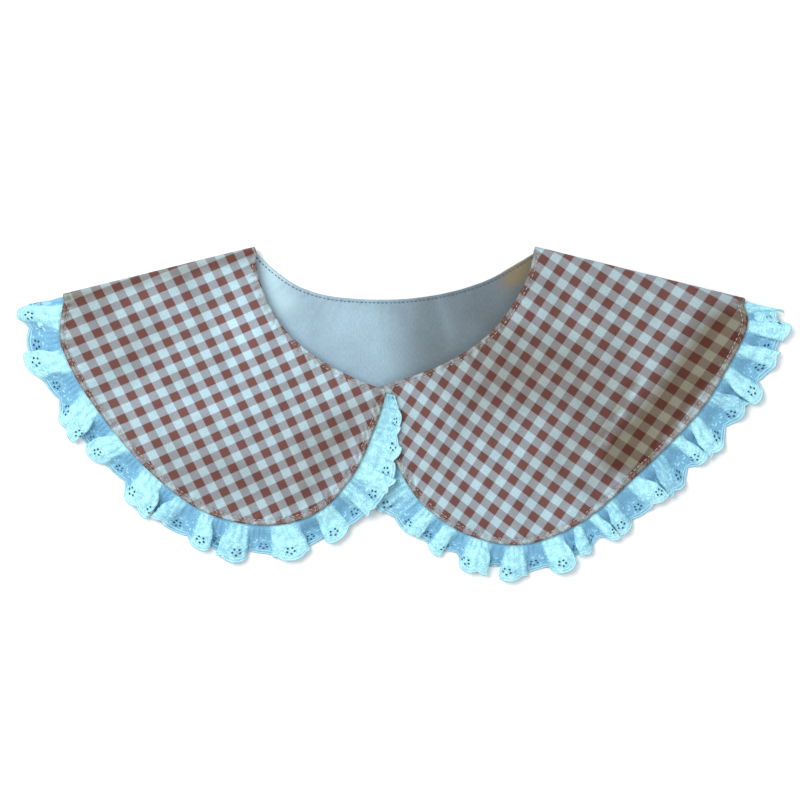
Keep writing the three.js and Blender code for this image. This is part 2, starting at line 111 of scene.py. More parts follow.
BACK_SECTIONS = table(
    "neck_along neck_bow edge_along edge_bow",
    (0, 0, 0, 0),
    (0.07, 0.39, 0.06, 0.31),
    (0.15, 0.71, 0.15, 0.605),
    (0.25, 0.91, 0.26, 0.84),
    (0.37, 0.99, 0.375, 0.965),
    (0.5, 1, 0.49, 1),
    (0.62, 0.93, 0.605, 0.96),
    (0.74, 0.775, 0.72, 0.83),
    (0.84, 0.56, 0.83, 0.585),
    (0.92, 0.29, 0.925, 0.305),
    (1, 0, 1, 0),
)

# Creases raised in the lobes: from and to a place, as the share from the front corner to the fold and
# the share from the neck to the outer edge. They are the CAD model's.
CREASE_COLUMNS = "from_share from_across to_share to_across rise spread"
LEFT_CREASES = table(
    CREASE_COLUMNS,
    (0.93, 0.5, 0.74, 0.8, 0.75, 0.9),
    (0.3, 0.45, 0.42, 0.85, 0.6, 0.9),
)
RIGHT_CREASES = table(
    CREASE_COLUMNS,
    (0.93, 0.82, 0.55, 0.9, 1, 1),
    (0.97, 0.35, 0.66, 0.62, 0.75, 1),
)
# Finer creases of both lobes, as lines in plan with their spread and their height
PATCH_COLUMNS = "x0 y0 x1 y1 spread strength"
WRINKLES = table(
    PATCH_COLUMNS,
    (137, 1, 116, -34, 1.2, 0.65),
    (116, -34, 92, -76, 4, 0.45),
    (128, 0, 106, -36, 5, -0.7),
    (172, 26, 126, -32, 7, -1.1),
    (150, 0, 112, -58, 5, 0.5),
    (60, 40, 96, -14, 7, 0.4),
    (40, -6, 62, -46, 6, 0.35),
    (-115, 60, -104, 28, 5, 0.6),
    (-108, 60, -96, 30, 4, -0.4),
    (-60, 0, -44, -50, 8, 0.4),
    (-150, 30, -130, -10, 8, 0.35),
    (-26, -22, -50, -54, 3.5, 0.5),
)

# Heights worked out from the layers
SEAM_DEPTH = GINGHAM + LAYER_GAP + LACE_LAYER / 2
INNER_LINING_DEPTH = GINGHAM + LAYER_GAP
EDGE_LINING_DEPTH = INNER_LINING_DEPTH + LACE_LAYER + LAYER_GAP
EDGE_STACK = EDGE_LINING_DEPTH + LINING
LINING_CLOSES = 3 * HEADING_DEPTH
FOLD_RADIUS = EDGE_STACK + FOLD_INNER_RADIUS
FOLD_TOP = 2 * FOLD_RADIUS
SETTLE_DROP = FOLD_TOP - EDGE_STACK - LAYER_GAP
RIGHT_CORNER_TOP = FOLD_TOP - RIGHT_SECTIONS["neck_sink"][0] * SETTLE_DROP
LEFT_CORNER_TOP = RIGHT_CORNER_TOP + LAYER_GAP + STUD_THICKNESS + LAYER_GAP + EDGE_STACK
CORNER_LIFT = LEFT_CORNER_TOP - FOLD_TOP

# Key points of the plan
SLOPE = np.radians(SHOULDER_SLOPE)
SHOULDER_Y = BACK_DEPTH / 2 + BACK_NECK_DIP - FOLD_RADIUS
BACK_NECK_BOW = BACK_NECK_DIP - FOLD_RADIUS
CORNER_Y = SHOULDER_Y + FOLD_RADIUS - FRONT_DROP
LEFT_NECK = np.array([-NECK_SPAN / 2, SHOULDER_Y])
RIGHT_NECK = np.array([NECK_SPAN / 2, SHOULDER_Y])
LEFT_LINE = np.array([-np.cos(SLOPE), -np.sin(SLOPE)])
RIGHT_LINE = np.array([np.cos(SLOPE), -np.sin(SLOPE)])
LEFT_TIP = LEFT_NECK + LEFT_LINE * LEFT_SHOULDER
RIGHT_TIP = RIGHT_NECK + RIGHT_LINE * RIGHT_SHOULDER
LEFT_OUT = np.array([-np.sin(SLOPE), np.cos(SLOPE)])
RIGHT_OUT = np.array([np.sin(SLOPE), np.cos(SLOPE)])
LEFT_CORNER = np.array([FRONT_SHIFT + FRONT_LAP / 2, CORNER_Y])
RIGHT_CORNER = np.array([FRONT_SHIFT - FRONT_LAP / 2, CORNER_Y])
BACK_SAG = LEFT_TIP[1] / 2 + RIGHT_TIP[1] / 2 + BACK_DEPTH / 2

# The runs of the collar, in order round it
LEFT_LOBE, LEFT_FOLD, BACK, RIGHT_FOLD, RIGHT_LOBE = range(5)


def smooth(value, low=0.0, high=1.0):
    """0 below low, 1 above high, with a soft rise between."""
    t = np.clip((value - low) / (high - low), 0, 1)
    return t * t * (3 - 2 * t)


def column_at(sections, column, share):
    """Smooth values of one column through the sections."""
    values = sections[column]
    last = len(values) - 1
    place = np.clip(share, 0, 1) * last
    row = np.minimum(place.astype(int), last - 1)
    blend = place - row
    before, near, far, after = (values[np.clip(row + step, 0, last)] for step in (-1, 0, 1, 2))
    square, cube = blend**2, blend**3
    risen = (far - before) / 2 * (cube - 2 * square + blend) + (after - near) / 2 * (cube - square)
    return near * (2 * cube - 3 * square + 1) + far * (3 * square - 2 * cube) + risen


def bowed(start, end, along, bow):
    """A place on a bowed edge: a share along its chord, and a length to the chord's left."""
    chord = end - start
    leftwards = np.array([-chord[1], chord[0]]) / np.hypot(*chord)
    return start + along[..., None] * chord + bow[..., None] * leftwards


LEFT = dict(
    sections=LEFT_SECTIONS, corner=LEFT_CORNER, neck=LEFT_NECK, tip=LEFT_TIP, neck_bow=LEFT_NECK_BOW,
    sweep=LEFT_SWEEP, creases=LEFT_CREASES,
)
RIGHT = dict(
    sections=RIGHT_SECTIONS, corner=RIGHT_CORNER, neck=RIGHT_NECK, tip=RIGHT_TIP,
    neck_bow=-RIGHT_NECK_BOW, sweep=-RIGHT_SWEEP, creases=RIGHT_CREASES,
)


def lobe_ends(lobe, share):
    """The neck end and the outer end of a lobe's section, in plan."""
    read = lambda column: column_at(lobe["sections"], column, share)
    neck = bowed(lobe["corner"], lobe["neck"], read("neck_along"), read("neck_bow") * lobe["neck_bow"])
    edge = bowed(lobe["corner"], lobe["tip"], read("edge_along"), read("edge_bow") * lobe["sweep"])
    return neck, edge


def distance_to_segment(place, start, end):
    line = end - start
    along = np.clip(((place - start) @ line) / (line @ line), 0, 1)
    return np.linalg.norm(place - start - along[..., None] * line, axis=-1)


def crease_height(lobe, place):
    """Height of the lobe's creases at a place."""
    height = np.zeros(place.shape[:-1])
    for from_share, from_across, to_share, to_across, rise, spread in zip(*lobe["creases"].values()):
        ends = []
        for share, across in ((from_share, from_across), (to_share, to_across)):
            neck, edge = lobe_ends(lobe, np.array(share))
            ends.append(neck + across * (edge - neck))
        away = distance_to_segment(place, *ends) / (spread * CREASE_SPREAD)
        height += rise * CREASE_RISE * np.exp(-away * away)
    return height


def patches(place, rows):
    """Soft patches. Each row is a line in plan, a spread and a strength."""
    total = np.zeros(place.shape[:-1])
    for x0, y0, x1, y1, spread, strength in zip(*rows.values()):
        away = distance_to_segment(place, np.array([x0, y0]), np.array([x1, y1])) / spread
        total += strength * np.exp(-away * away)
    return total


def undulation(place):
    """The slack of cloth that lies loosely, up to a few tenths of a millimetre."""
    x, y = place[..., 0], place[..., 1]
    slow = np.sin(x / 13.7 + 1.9 * np.sin(y / 31)) * np.sin(y / 17.3 + 1.1 * np.sin(x / 23))
    fine = np.sin(x / 5.9 - y / 8.3 + 2 * np.sin(y / 19)) * np.sin(y / 6.7 + x / 14.1)
    return 0.22 * slow + 0.07 * fine


def lobe_top(lobe, share, across, place):
    """Height of a lobe's gingham face above the table."""
    read = lambda column: column_at(lobe["sections"], column, share)[:, None]
    settled = smooth(across, SETTLE_FROM, 1)
    sink = read("neck_sink") + (read("edge_sink") - read("neck_sink")) * settled
    ends = np.minimum(1, np.minimum(share * CREASE_FADE_FRONT, (1 - share) * CREASE_FADE_FOLD))[:, None]
    creases = crease_height(lobe, place) + patches(place, WRINKLES) + undulation(place)
    return FOLD_TOP + read("lift") * CORNER_LIFT - sink * SETTLE_DROP + creases * ends


def lobe_points(lobe, share, across, depth):
    neck, edge = lobe_ends(lobe, share)
    place = neck[:, None] + across[..., None] * (edge - neck)[:, None]
    return np.dstack([place, lobe_top(lobe, share, across, place) - depth])


def back_points(share, across, depth):
    read = lambda column: column_at(BACK_SECTIONS, column, share)
    neck = bowed(LEFT_NECK, RIGHT_NECK, read("neck_along"), -read("neck_bow") * BACK_NECK_BOW)
    edge = bowed(LEFT_TIP, RIGHT_TIP, read("edge_along"), -read("edge_bow") * BACK_SAG)
    place = neck[:, None] + across[..., None] * (edge - neck)[:, None]
    return np.dstack([place, depth])


def fold_points(neck, tip, outwards, turn, across, depth):
    """Half a turn about a shoulder line: turn 0 lies in the back and 1 in the lobe."""
    angle = (turn * np.pi)[:, None]
    radius = FOLD_RADIUS - depth
    place = neck + across[..., None] * (tip - neck) + (radius * np.sin(angle))[..., None] * outwards
    return np.dstack([place, FOLD_RADIUS - radius * np.cos(angle)])


RUN_POINTS = {
    LEFT_LOBE: lambda share, across, depth: lobe_points(LEFT, share, across, depth),
    LEFT_FOLD: lambda share, across, depth: fold_points(
        LEFT_NECK, LEFT_TIP, LEFT_OUT, 1 - share, across, depth),
    BACK: back_points,
    RIGHT_FOLD: lambda share, across, depth: fold_points(
        RIGHT_NECK, RIGHT_TIP, RIGHT_OUT, share, across, depth),
    RIGHT_LOBE: lambda share, across, depth: lobe_points(RIGHT, 1 - share, across, depth),
}


def stations(*steps):
    """The run and the share of each station round the collar, from a count of steps for each run."""
    run, share = [], []
    for index, count in enumerate(steps):
        if count == 0:
            continue
        shares = np.linspace(0, 1, count + 1)[1 if run else 0:]
        run.append(np.full(len(shares), index))
        share.append(shares)
    return np.concatenate(run), np.concatenate(share)


def cloth(run, share, across, depth):
    """Places in the cloth, by station, share across from the neck, and depth below the gingham face."""
    places = np.empty(across.shape + (3,))
    for index, points in RUN_POINTS.items():
        chosen = run == index
        if chosen.any():
            places[chosen] = points(share[chosen], across[chosen], depth[chosen])
    return places


def line_in_cloth(run, share, across, depth):
    """One place for each station."""
    fill = np.ones((len(run), 1))
    return cloth(run, share, fill * np.reshape(across, (-1, 1)), fill * np.reshape(depth, (-1, 1)))[:, 0]


def arc_lengths(path):
    steps = np.linalg.norm(np.diff(path, axis=0), axis=1)
    return np.concatenate([[0], np.cumsum(steps)])


def directions(path):
    along = np.gradient(path, axis=0)
    return along / np.maximum(np.linalg.norm(along, axis=1, keepdims=True), 1e-9)


def section_measures(run, share):
    """For each station: its length, how squarely it meets its two edges, and the lengths along them."""
    neck = line_in_cloth(run, share, 0, SEAM_DEPTH)
    edge = line_in_cloth(run, share, 1, SEAM_DEPTH)
    section = edge - neck
    length = np.linalg.norm(section, axis=1)
    way = section / np.maximum(length, 1e-9)[:, None]
    square = [np.linalg.norm(np.cross(way, directions(line)), axis=1) for line in (neck, edge)]
    return dict(
        length=length, neck_square=np.clip(square[0], 0.35, 1), edge_square=np.clip(square[1], 0.35, 1),
        neck_arc=arc_lengths(neck), edge_arc=arc_lengths(edge),
    )


# Distances from an edge at which the sheets have their close rows, and how wide that band is
BAND_ROWS = np.array([0, 0.12, 0.35, 0.7, 1.1, 1.6, 2.1, 2.6, 3.1, 3.6, 4.1, 4.7, 5.4, 6.2, 7.2])
BAND = BAND_ROWS[-1]
LARGEST_BAND_SHARE = 0.42


def banded_across(measures, middle_rows):
    """Shares across, close together beside both edges and even between."""
    length = measures["length"]
    neck_band = np.minimum(BAND / measures["neck_square"] / length, LARGEST_BAND_SHARE)[:, None]
    edge_band = np.minimum(BAND / measures["edge_square"] / length, LARGEST_BAND_SHARE)[:, None]
    rows = BAND_ROWS / BAND
    middle = np.linspace(0, 1, middle_rows + 2)[1:-1]
    return np.hstack([
        rows * neck_band, neck_band + middle * (1 - neck_band - edge_band), 1 - rows[::-1] * edge_band])


def edge_distances(measures, across):
    """Square distances of each place from the neck edge and from the outer edge."""
    length = measures["length"][:, None]
    from_neck = across * length * measures["neck_square"][:, None]
    from_edge = (1 - across) * length * measures["edge_square"][:, None]
    return from_neck, from_edge


def pucker(arc, pitch):
    """Uneven waves along a seam, between -1 and 1."""
    turn = 2 * np.pi * arc / pitch
    long_waves = np.sin(turn + 1.7 * np.sin(turn / 5.3))
    return 0.6 * long_waves + 0.4 * np.sin(turn * 0.61 + 2.1 * np.sin(turn / 7.7))


# Seams
OUTER_STITCH = 3.1  # topstitch inside the outer edge
NECK_STITCH = 2.4
WELT_RISE = 0.4  # of the seam allowance between the edge and the topstitch
GROOVE_DEPTH = 0.42
PUCKER_PITCH = 4.6
EDGE_ROUNDING = 1.1
FADE_STATIONS = 12  # over which the seams die away at the shoulder folds


def rounded(distance, thickness):
    """How far a face turns in towards the middle of its cloth, near an edge."""
    close = np.clip(1 - distance / EDGE_ROUNDING, 0, 1)
    return 0.46 * thickness * (1 - np.sqrt(1 - close * close))


def seam_relief(distance, arc, stitch):
    """The welt, groove and puckers of a topstitched seam."""
    waves = pucker(arc, PUCKER_PITCH)[:, None]
    small = pucker(arc + 40, PUCKER_PITCH * 0.62)[:, None]
    welt = np.exp(-((distance - stitch * 0.45) / (stitch * 0.3)) ** 2) * (1 + 0.7 * waves + 0.4 * small)
    groove = np.exp(-((distance - stitch) / 0.75) ** 2) * (1 + 0.45 * small)
    inside = np.exp(-np.maximum(distance - stitch, 0) / 3.2) * smooth(distance, 0, stitch)
    return WELT_RISE * welt - GROOVE_DEPTH * groove + 0.42 * waves * inside


def seam_painted_shading(distance, arc, stitch):
    """Painted shade in the puckers and the groove of a seam and along the very edge, and painted light on
    the puckers' crests.
    """
    waves = pucker(arc + 1.3, PUCKER_PITCH)[:, None]
    puckers = 0.42 * waves * np.exp(-((distance - stitch) / (0.8 * stitch)) ** 2)
    return puckers + 0.25 * np.exp(-((distance - stitch) / 0.8) ** 2) + 0.5 * np.exp(-(distance / 0.7) ** 2)


def gingham_relief(run, measures, across):
    from_neck, from_edge = edge_distances(measures, across)
    outer = seam_relief(from_edge, measures["edge_arc"], OUTER_STITCH)
    neck = 0.7 * seam_relief(from_neck, measures["neck_arc"], NECK_STITCH)
    on_lobe = np.isin(run, (LEFT_LOBE, RIGHT_LOBE)).astype(float)
    window = 2 * FADE_STATIONS + 1
    on_lobe = np.convolve(np.pad(on_lobe, FADE_STATIONS, mode="edge"), np.ones(window) / window, "valid")
    on_lobe = np.where(run == BACK, 0, on_lobe)[:, None]
    fits = smooth(measures["length"], 8, 26)[:, None]
    return (outer + neck) * on_lobe * fits


# The check, one row for each direction of its stripes: the way across the stripes, the size of one
# repeat, the turn of the repeat at the lobe's middle, and how the stripes bend away from it.
CHECK_COLUMNS = "way repeat start bend_xx bend_xy bend_yy"
LEFT_MIDDLE = np.array([-121, -5])
LEFT_CHECK = table(
    CHECK_COLUMNS,
    (27.5, 10.39, 0.3, 0.37, -0.04, -0.05),
    (113.2, 9.72, 1, -0.22, 0.07, 0.17),
)
RIGHT_MIDDLE = np.array([95, -10])
RIGHT_CHECK = table(
    CHECK_COLUMNS,
    (-34, 10.69, 0.52, -0.61, 0.15, 0.04),
    (55.3, 9.95, 0.91, -0.61, -0.11, -0.02),
)
BEND_SPAN = 100
BEND_FADE = 70


def check_turns(check, middle, place, beyond):
    """Turns of both stripe directions at a place. The bend dies away beyond the shoulder fold."""
    offset = place - middle
    x, y = offset[..., 0] / BEND_SPAN, offset[..., 1] / BEND_SPAN
    fade = np.exp(-np.maximum(beyond, 0) / BEND_FADE)
    turns = []
    for way, repeat, start, bend_xx, bend_xy, bend_yy in zip(*check.values()):
        across = np.array([np.cos(np.radians(way)), np.sin(np.radians(way))])
        bend = bend_xx * x * x + bend_xy * x * y + bend_yy * y * y
        turns.append(offset @ across / repeat + bend * fade - start)
    return np.stack(turns, axis=-1)


def unfolded(run, share, place, side_run, neck, outwards):
    """Places laid out in the plane of one lobe, and how far beyond its fold line they are."""
    around = np.pi * FOLD_RADIUS
    inwards = -(place - neck) @ outwards
    foot = place + inwards[..., None] * outwards
    turn = share if side_run == LEFT_FOLD else 1 - share
    beyond = -inwards
    beyond = np.where((run == side_run)[:, None], turn[:, None] * around, beyond)
    beyond = np.where((run == BACK)[:, None], around + np.maximum(inwards, 0), beyond)
    return foot + beyond[..., None] * outwards, beyond


def check_coordinates(run, share, points):
    """Turns of the check over the whole sheet, which is one piece of cloth."""
    place = points[..., :2]
    left = check_turns(LEFT_CHECK, LEFT_MIDDLE, *unfolded(run, share, place, LEFT_FOLD, LEFT_NECK, LEFT_OUT))
    right = check_turns(
        RIGHT_CHECK, RIGHT_MIDDLE, *unfolded(run, share, place, RIGHT_FOLD, RIGHT_NECK, RIGHT_OUT))
    rightness = smooth(place[..., 0], -NECK_SPAN, NECK_SPAN)
    rightness = np.where(np.isin(run, (LEFT_LOBE, LEFT_FOLD))[:, None], 0, rightness)
    rightness = np.where(np.isin(run, (RIGHT_LOBE, RIGHT_FOLD))[:, None], 1, rightness)
    return left * (1 - rightness[..., None]) + right * rightness[..., None]


# Painted shade, browner and darker where the lobes slope away from the light, and painted highlights where
# the strength is negative, as lines in plan
GINGHAM_PAINTED_SHADING = table(
    PATCH_COLUMNS,
    (180, 26, 126, -42, 12, 1.12),
    (192, 40, 172, 2, 2.5, 0.6),
    (172, 2, 132, -48, 2.5, 0.5),
    (60, 4, 106, -4, 27, 0.55),
    (98, -36, 86, -50, 13, 0.38),
    (40, 70, 190, 30, 45, 0.28),
    (126, -36, 104, -60, 6, 0.4),
    (137, 1, 116, -34, 1, -0.72),
    (132, -1, 110, -36, 3, 0.4),
    (116, -34, 94, -74, 2.5, -0.25),
    (30, -30, 50, -10, 30, 0.16),
    (-180, 44, -82, 68, 4, 0.5),
    (-170, 30, -150, 20, 22, 0.3),
    (-115, 55, -104, 28, 6, 0.25),
    (-90, 30, -82, 26, 20, -0.28),
    (-130, -5, -86, -14, 20, -0.1),
    (-112, -50, -60, -55, 20, 0.25),
    (-44, -34, -12, -18, 14, 0.35),
    (-48, -58, -30, -36, 8, 0.25),
)
# Painted shade beside the back lining's folds and towards its right, and painted highlights where the
# strength is negative, as lines in plan
LINING_PAINTED_SHADING = table(
    PATCH_COLUMNS,
    (78, 52, 60, 44, 14, 0.3),
    (-43, 40, -47, 14, 3.5, 0.15),
    (-8, 42, -5, 16, 3, 0.12),
    (-70, 62, -62, 44, 9, -0.45),
    (24, 46, 30, 26, 3, -0.12),
    (-60, 50, 0, 39, 5, 0.14),
)
# Painted shade that darkens the lining towards its right
LINING_SHADE_FROM = -14
LINING_SHADE_TO = 20
LINING_SHADE = 0.92
# Painted shade in the inner corner of the right shoulder fold, browned where the gingham partly shows
# through the lining
OLIVE_PAINTED_SHADE = table(PATCH_COLUMNS, (76, 66, 66, 58, 6, 1.0), (72, 60, 62, 52, 5, 0.5))


def quad_grid(rows, columns, start=0):
    """Faces of a grid of vertices, wound so that they look up when rows x columns does."""
    corner = start + np.arange(rows - 1)[:, None] * columns + np.arange(columns - 1)
    return np.stack([corner, corner + columns, corner + columns + 1, corner + 1], axis=-1).reshape(-1, 4)


def border_walls(rows, columns):
    """Faces between the outer and the inner grid, all round the border."""
    index = np.arange(rows * columns).reshape(rows, columns)
    loop = np.concatenate([index[:-1, 0], index[-1, :-1], index[:0:-1, -1], index[0, :0:-1]])
    onwards = np.roll(loop, -1)
    inner = rows * columns
    return np.stack([onwards, loop, loop + inner, onwards + inner], axis=-1)


def shell_faces(rows, columns, open_cells=None):
    """Faces of a closed shell from an outer and an inner grid, with some cells left open."""
    outer = quad_grid(rows, columns)
    if open_cells is not None:
        outer = outer[~open_cells.ravel()]
    inner = outer[:, ::-1] + rows * columns
    return np.vstack([outer, inner, border_walls(rows, columns)])


def make_mesh(name, points, faces, uvs=(), values=()):
    """A smooth mesh object from points in millimetres, with named UV maps and values at its points."""
    mesh = bpy.data.meshes.new(name)
    mesh.from_pydata((points * MM).tolist(), [], faces.tolist())
    mesh.polygons.foreach_set("use_smooth", np.ones(len(mesh.polygons), bool))
    corners = faces.ravel()
    for uv_name, uv in dict(uvs).items():
        layer = mesh.uv_layers.new(name=uv_name)
        layer.data.foreach_set("uv", uv[corners].astype(np.float32).ravel())
    for value_name, value in dict(values).items():
        attribute = mesh.attributes.new(value_name, "FLOAT", "POINT")
        attribute.data.foreach_set("value", value.astype(np.float32))
    mesh.update()
    piece = bpy.data.objects.new(name, mesh)
    bpy.context.scene.collection.objects.link(piece)
    return piece


def finish_piece(piece, material, slot, *nodes):
    piece.data.materials.append(material)
    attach(piece, "root")
    if nodes:
        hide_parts(*nodes)
    return piece


def flat(grid):
    return grid.reshape(-1, grid.shape[-1]) if grid.ndim == 3 else grid.ravel()


NECK_INSET_SHARE = 0.2  # the lining comes closer to the back neck edge, where it is rolled over the seam
GINGHAM_STATIONS = (210, 14, 150, 14, 225)
LINING_STATIONS = (100, 12, 190, 12, 105)


def make_gingham():
    run, share = stations(*GINGHAM_STATIONS)
    measures = section_measures(run, share)
    across = banded_across(measures, 26)
    from_neck, from_edge = edge_distances(measures, across)
    turned = rounded(np.minimum(from_neck, from_edge), GINGHAM)
    relief = gingham_relief(run, measures, across)
    outer = cloth(run, share, across, turned - relief)
    inner = cloth(run, share, across, GINGHAM - turned - 0.5 * np.minimum(relief, 0))
    checks = check_coordinates(run, share, outer)
    # painted shade and painted highlights on the lobes
    painted_shading = patches(outer[..., :2], GINGHAM_PAINTED_SHADING)
    painted_shading = np.where((run == BACK)[:, None], 0, painted_shading)
    # painted shade and light of the seams' puckers, grooves and edges
    painted_shading += seam_painted_shading(from_edge, measures["edge_arc"], OUTER_STITCH)
    painted_shading += 0.8 * seam_painted_shading(from_neck, measures["neck_arc"], NECK_STITCH)
    seam = np.exp(-((from_edge - 1.2) / 1.6) ** 2) + 0.7 * np.exp(-((from_neck - 1) / 1.3) ** 2)
    rows, columns = across.shape
    twice = lambda grid: np.concatenate([flat(grid), flat(grid)])
    return make_mesh(
        "gingham_cloth", np.vstack([flat(outer), flat(inner)]), shell_faces(rows, columns),
        {"check": twice(checks)}, {"painted_shading": twice(painted_shading), "seam": twice(seam)})


def lining_depth(measures, across):
    inside = measures["length"][:, None] * (1 - across)
    closed = smooth(inside, HEADING_DEPTH + LACE_LAYER, LINING_CLOSES)
    return EDGE_LINING_DEPTH + (INNER_LINING_DEPTH - EDGE_LINING_DEPTH) * closed


# Soft upright folds in the back lining, as lines in plan with their rise and spread
LINING_FOLDS = table(
    PATCH_COLUMNS,
    (-40, 46, -47, 8, 3.2, 0.55),
    (-48, 40, -52, 12, 3.5, -0.35),
    (-5, 44, -3, 14, 2.6, 0.4),
    (-12, 44, -10, 20, 3, -0.3),
    (22, 44, 20, 18, 3.4, 0.3),
    (40, 44, 34, 22, 4, 0.35),
    (-24, 43, -26, 22, 4, 0.25),
    (-64, 52, -56, 38, 3, 0.3),
)
LINING_PUCKER_PITCH = 5.2
LINING_PUCKER_RISE = 0.3


def make_lining():
    run, share = stations(*LINING_STATIONS)
    measures = section_measures(run, share)
    across = banded_across(measures, 18)
    inset = np.minimum(LINING_INSET / measures["length"], 0.25)[:, None]
    neck_inset = np.where((run == BACK)[:, None], inset * NECK_INSET_SHARE, inset)
    placed = neck_inset + across * (1 - neck_inset - inset)
    from_neck, from_edge = edge_distances(measures, across)
    turned = rounded(np.minimum(from_neck, from_edge), LINING)
    depth = lining_depth(measures, across)
    base = cloth(run, share, placed, depth)
    folds = patches(base[..., :2], LINING_FOLDS) * smooth(from_neck, NECK_LINING_STITCH, 8)
    neck_seam = 0.6 * seam_relief(from_neck, measures["neck_arc"], NECK_LINING_STITCH)
    waves = pucker(measures["neck_arc"], LINING_PUCKER_PITCH)[:, None]
    below = smooth(from_neck, NECK_LINING_STITCH, 4) * np.exp(-from_neck / 11)
    raised = folds + LINING_PUCKER_RISE * waves * below
    raised = (raised + neck_seam * smooth(measures["length"], 20, 60)[:, None]) * (run == BACK)[:, None]
    raised *= smooth(from_edge, 0, 30)
    outer = cloth(run, share, placed, depth + turned)
    inner = cloth(run, share, placed, depth + LINING - turned + raised)
    place = outer[..., :2]
    shade = LINING_SHADE * smooth(place[..., 0], LINING_SHADE_FROM, LINING_SHADE_TO)
    painted_shading = patches(place, LINING_PAINTED_SHADING) + shade
    olive_shade = patches(place, OLIVE_PAINTED_SHADE)
    rows, columns = across.shape
    twice = lambda grid: np.concatenate([flat(grid), flat(grid)])
    return make_mesh(
        "lining_cloth", np.vstack([flat(outer), flat(inner)]), shell_faces(rows, columns),
        {"cloth": twice(place)}, {"painted_shading": twice(painted_shading), "olive_shade": twice(olive_shade)})


# Lace ruffle
SCALLOP = 16
SCALLOP_CELLS = 24
CELL = SCALLOP / SCALLOP_CELLS
LACE_ROWS = 34
LACE_WIDTH = LACE_ROWS * CELL
LACE_THICKNESS = 0.34
SCALLOP_DEPTH = 2.9
SEAM_STEP = 0.6
FAN = 1.2  # how much longer the tips' line is than the seam
OVERHANG = 1.15
MICRO_PITCH = 3.1  # of the fine pleats that run out from the seam
MICRO_RISE = 0.42
MICRO_LENGTH = 7.5
# painted light on the ridges of the fine pleats and painted shade between them
MICRO_SHADING = 0.16
RIPPLE_PITCH = 6.3  # of the soft ridges that run out along each flap
RIPPLE_RISE = 0.3
TABLE_CLEAR = 0.32
TIP_DROOP = 0.22
END_TAPER = 11  # length of seam over which the lace widens from the front corners
END_WIDTH = 0.22
FLAT_RISE = 3  # gathers lower than this are painted in one even light
FLAT_LIGHT = 0.8

# Each gather is one flap with half a valley on either side. pitch is its length of seam; rise its height
# over the valleys; lean how far its crest is pushed along the seam; wide its share of the pitch; reach
# how far out it comes as a share of the lace's width; gap the same for the valley before it, as a share
# of the reach; swing the turn of the flap in degrees; rest the height that its valleys lie at; and
# pale how brightly its crest is painted lit, between 0 and 1.
GATHER_COLUMNS = "pitch rise lean wide reach gap swing rest pale"
LEFT_GATHERS = table(
    GATHER_COLUMNS,
    (20, 0.5, 0, 0.5, 0.52, 0.9, 0, 8.9, 0.8),
    (17, 0.6, 0.4, 0.5, 0.78, 0.95, 0, 8.8, 1),
    (14, 0.8, -0.6, 0.5, 0.98, 0.95, 0, 8.5, 1),
    (12, 1.4, 0.5, 0.5, 0.94, 0.92, 2, 6, 0.75),
    (21, 3.2, 1.5, 0.55, 0.84, 0.86, 2, 1.2, 0.8),
    (27, 4.4, -1.5, 0.6, 0.9, 0.72, -2, 0, 0.9),
    (22, 4.6, 1.5, 0.6, 0.97, 0.72, 2, 0, 0.6),
    (16, 4.4, -4, 0.5, 0.88, 0.8, -2, 0, 0.8),
    (15, 4.2, 4, 0.5, 0.82, 0.9, 3, 0, 0.6),
    (26, 4.8, -5.5, 0.6, 0.94, 0.8, -2, 0, 1),
    (25, 4.6, 5, 0.5, 0.84, 0.72, 3, 0, 0.95),
    (29, 4.8, -5, 0.5, 0.97, 0.78, -3, 0, 0.95),
    (24, 4.2, 5, 0.45, 0.97, 0.72, 3, 0.6, 1),
    (25.5, 3.8, 2.5, 0.36, 1.07, 0.8, 0, 1.8, 1),
)
RIGHT_GATHERS = table(
    GATHER_COLUMNS,
    (9, 0.9, 0, 0.5, 1.02, 0.9, -8, 3.2, 0.8),
    (13, 3, 0, 0.5, 1.1, 0.5, 0, 1.6, 0.8),
    (14, 3.8, -3, 0.5, 1.05, 0.8, -3, 0.8, 0.8),
    (15, 4.4, 3.5, 0.6, 1.1, 0.85, 3, 0, 0.9),
    (17, 4.6, -4, 0.5, 0.95, 0.85, -2, 0, 0.5),
    (16, 4.4, 4, 0.55, 1.04, 0.85, 4, 0, 0.8),
    (13, 4.2, -3, 0.5, 0.92, 0.85, -3, 0, 0.9),
    (17, 4.8, 4, 0.55, 1.02, 0.85, 3, 0, 0.4),
    (20, 4.6, -5, 0.55, 0.9, 0.85, -3, 0, 0.8),
    (14, 4.4, 3.5, 0.5, 0.85, 0.9, 2, 0, 0.6),
    (10, 4.2, -2.5, 0.5, 0.86, 0.85, -2, 0, 0.9),
    (11, 4.2, 3, 0.55, 0.8, 0.68, 3, 0, 0.7),
    (21, 4.8, -2, 0.58, 0.92, 0.72, -2, 0, 0.85),
    (19, 4.6, 1.5, 0.6, 0.88, 0.72, 2, 0, 0.65),
    (22, 4.6, -2, 0.6, 0.86, 0.65, -1, 0.2, 0.9),
    (13, 3.6, 1, 0.55, 0.8, 0.66, 1, 0.3, 1),
    (17, 3, -1, 0.5, 0.76, 0.8, 0, 0.8, 0.9),
    (24, 1.2, 0.6, 0.5, 0.96, 0.9, 0, 2.4, 0.6),
    (22, 0.6, 0, 0.5, 0.85, 0.95, 0, 4.4, 0.6),
    (20, 0.5, 0, 0.5, 0.62, 0.9, 0, 4.6, 0.6),
)
FOLD_GATHER = (10, 0.6, 0, 0.5, 0.95, 0.9, 0, 3.4, 0.7)
BACK_GATHERS = 18
BACK_PITCH = 19.5

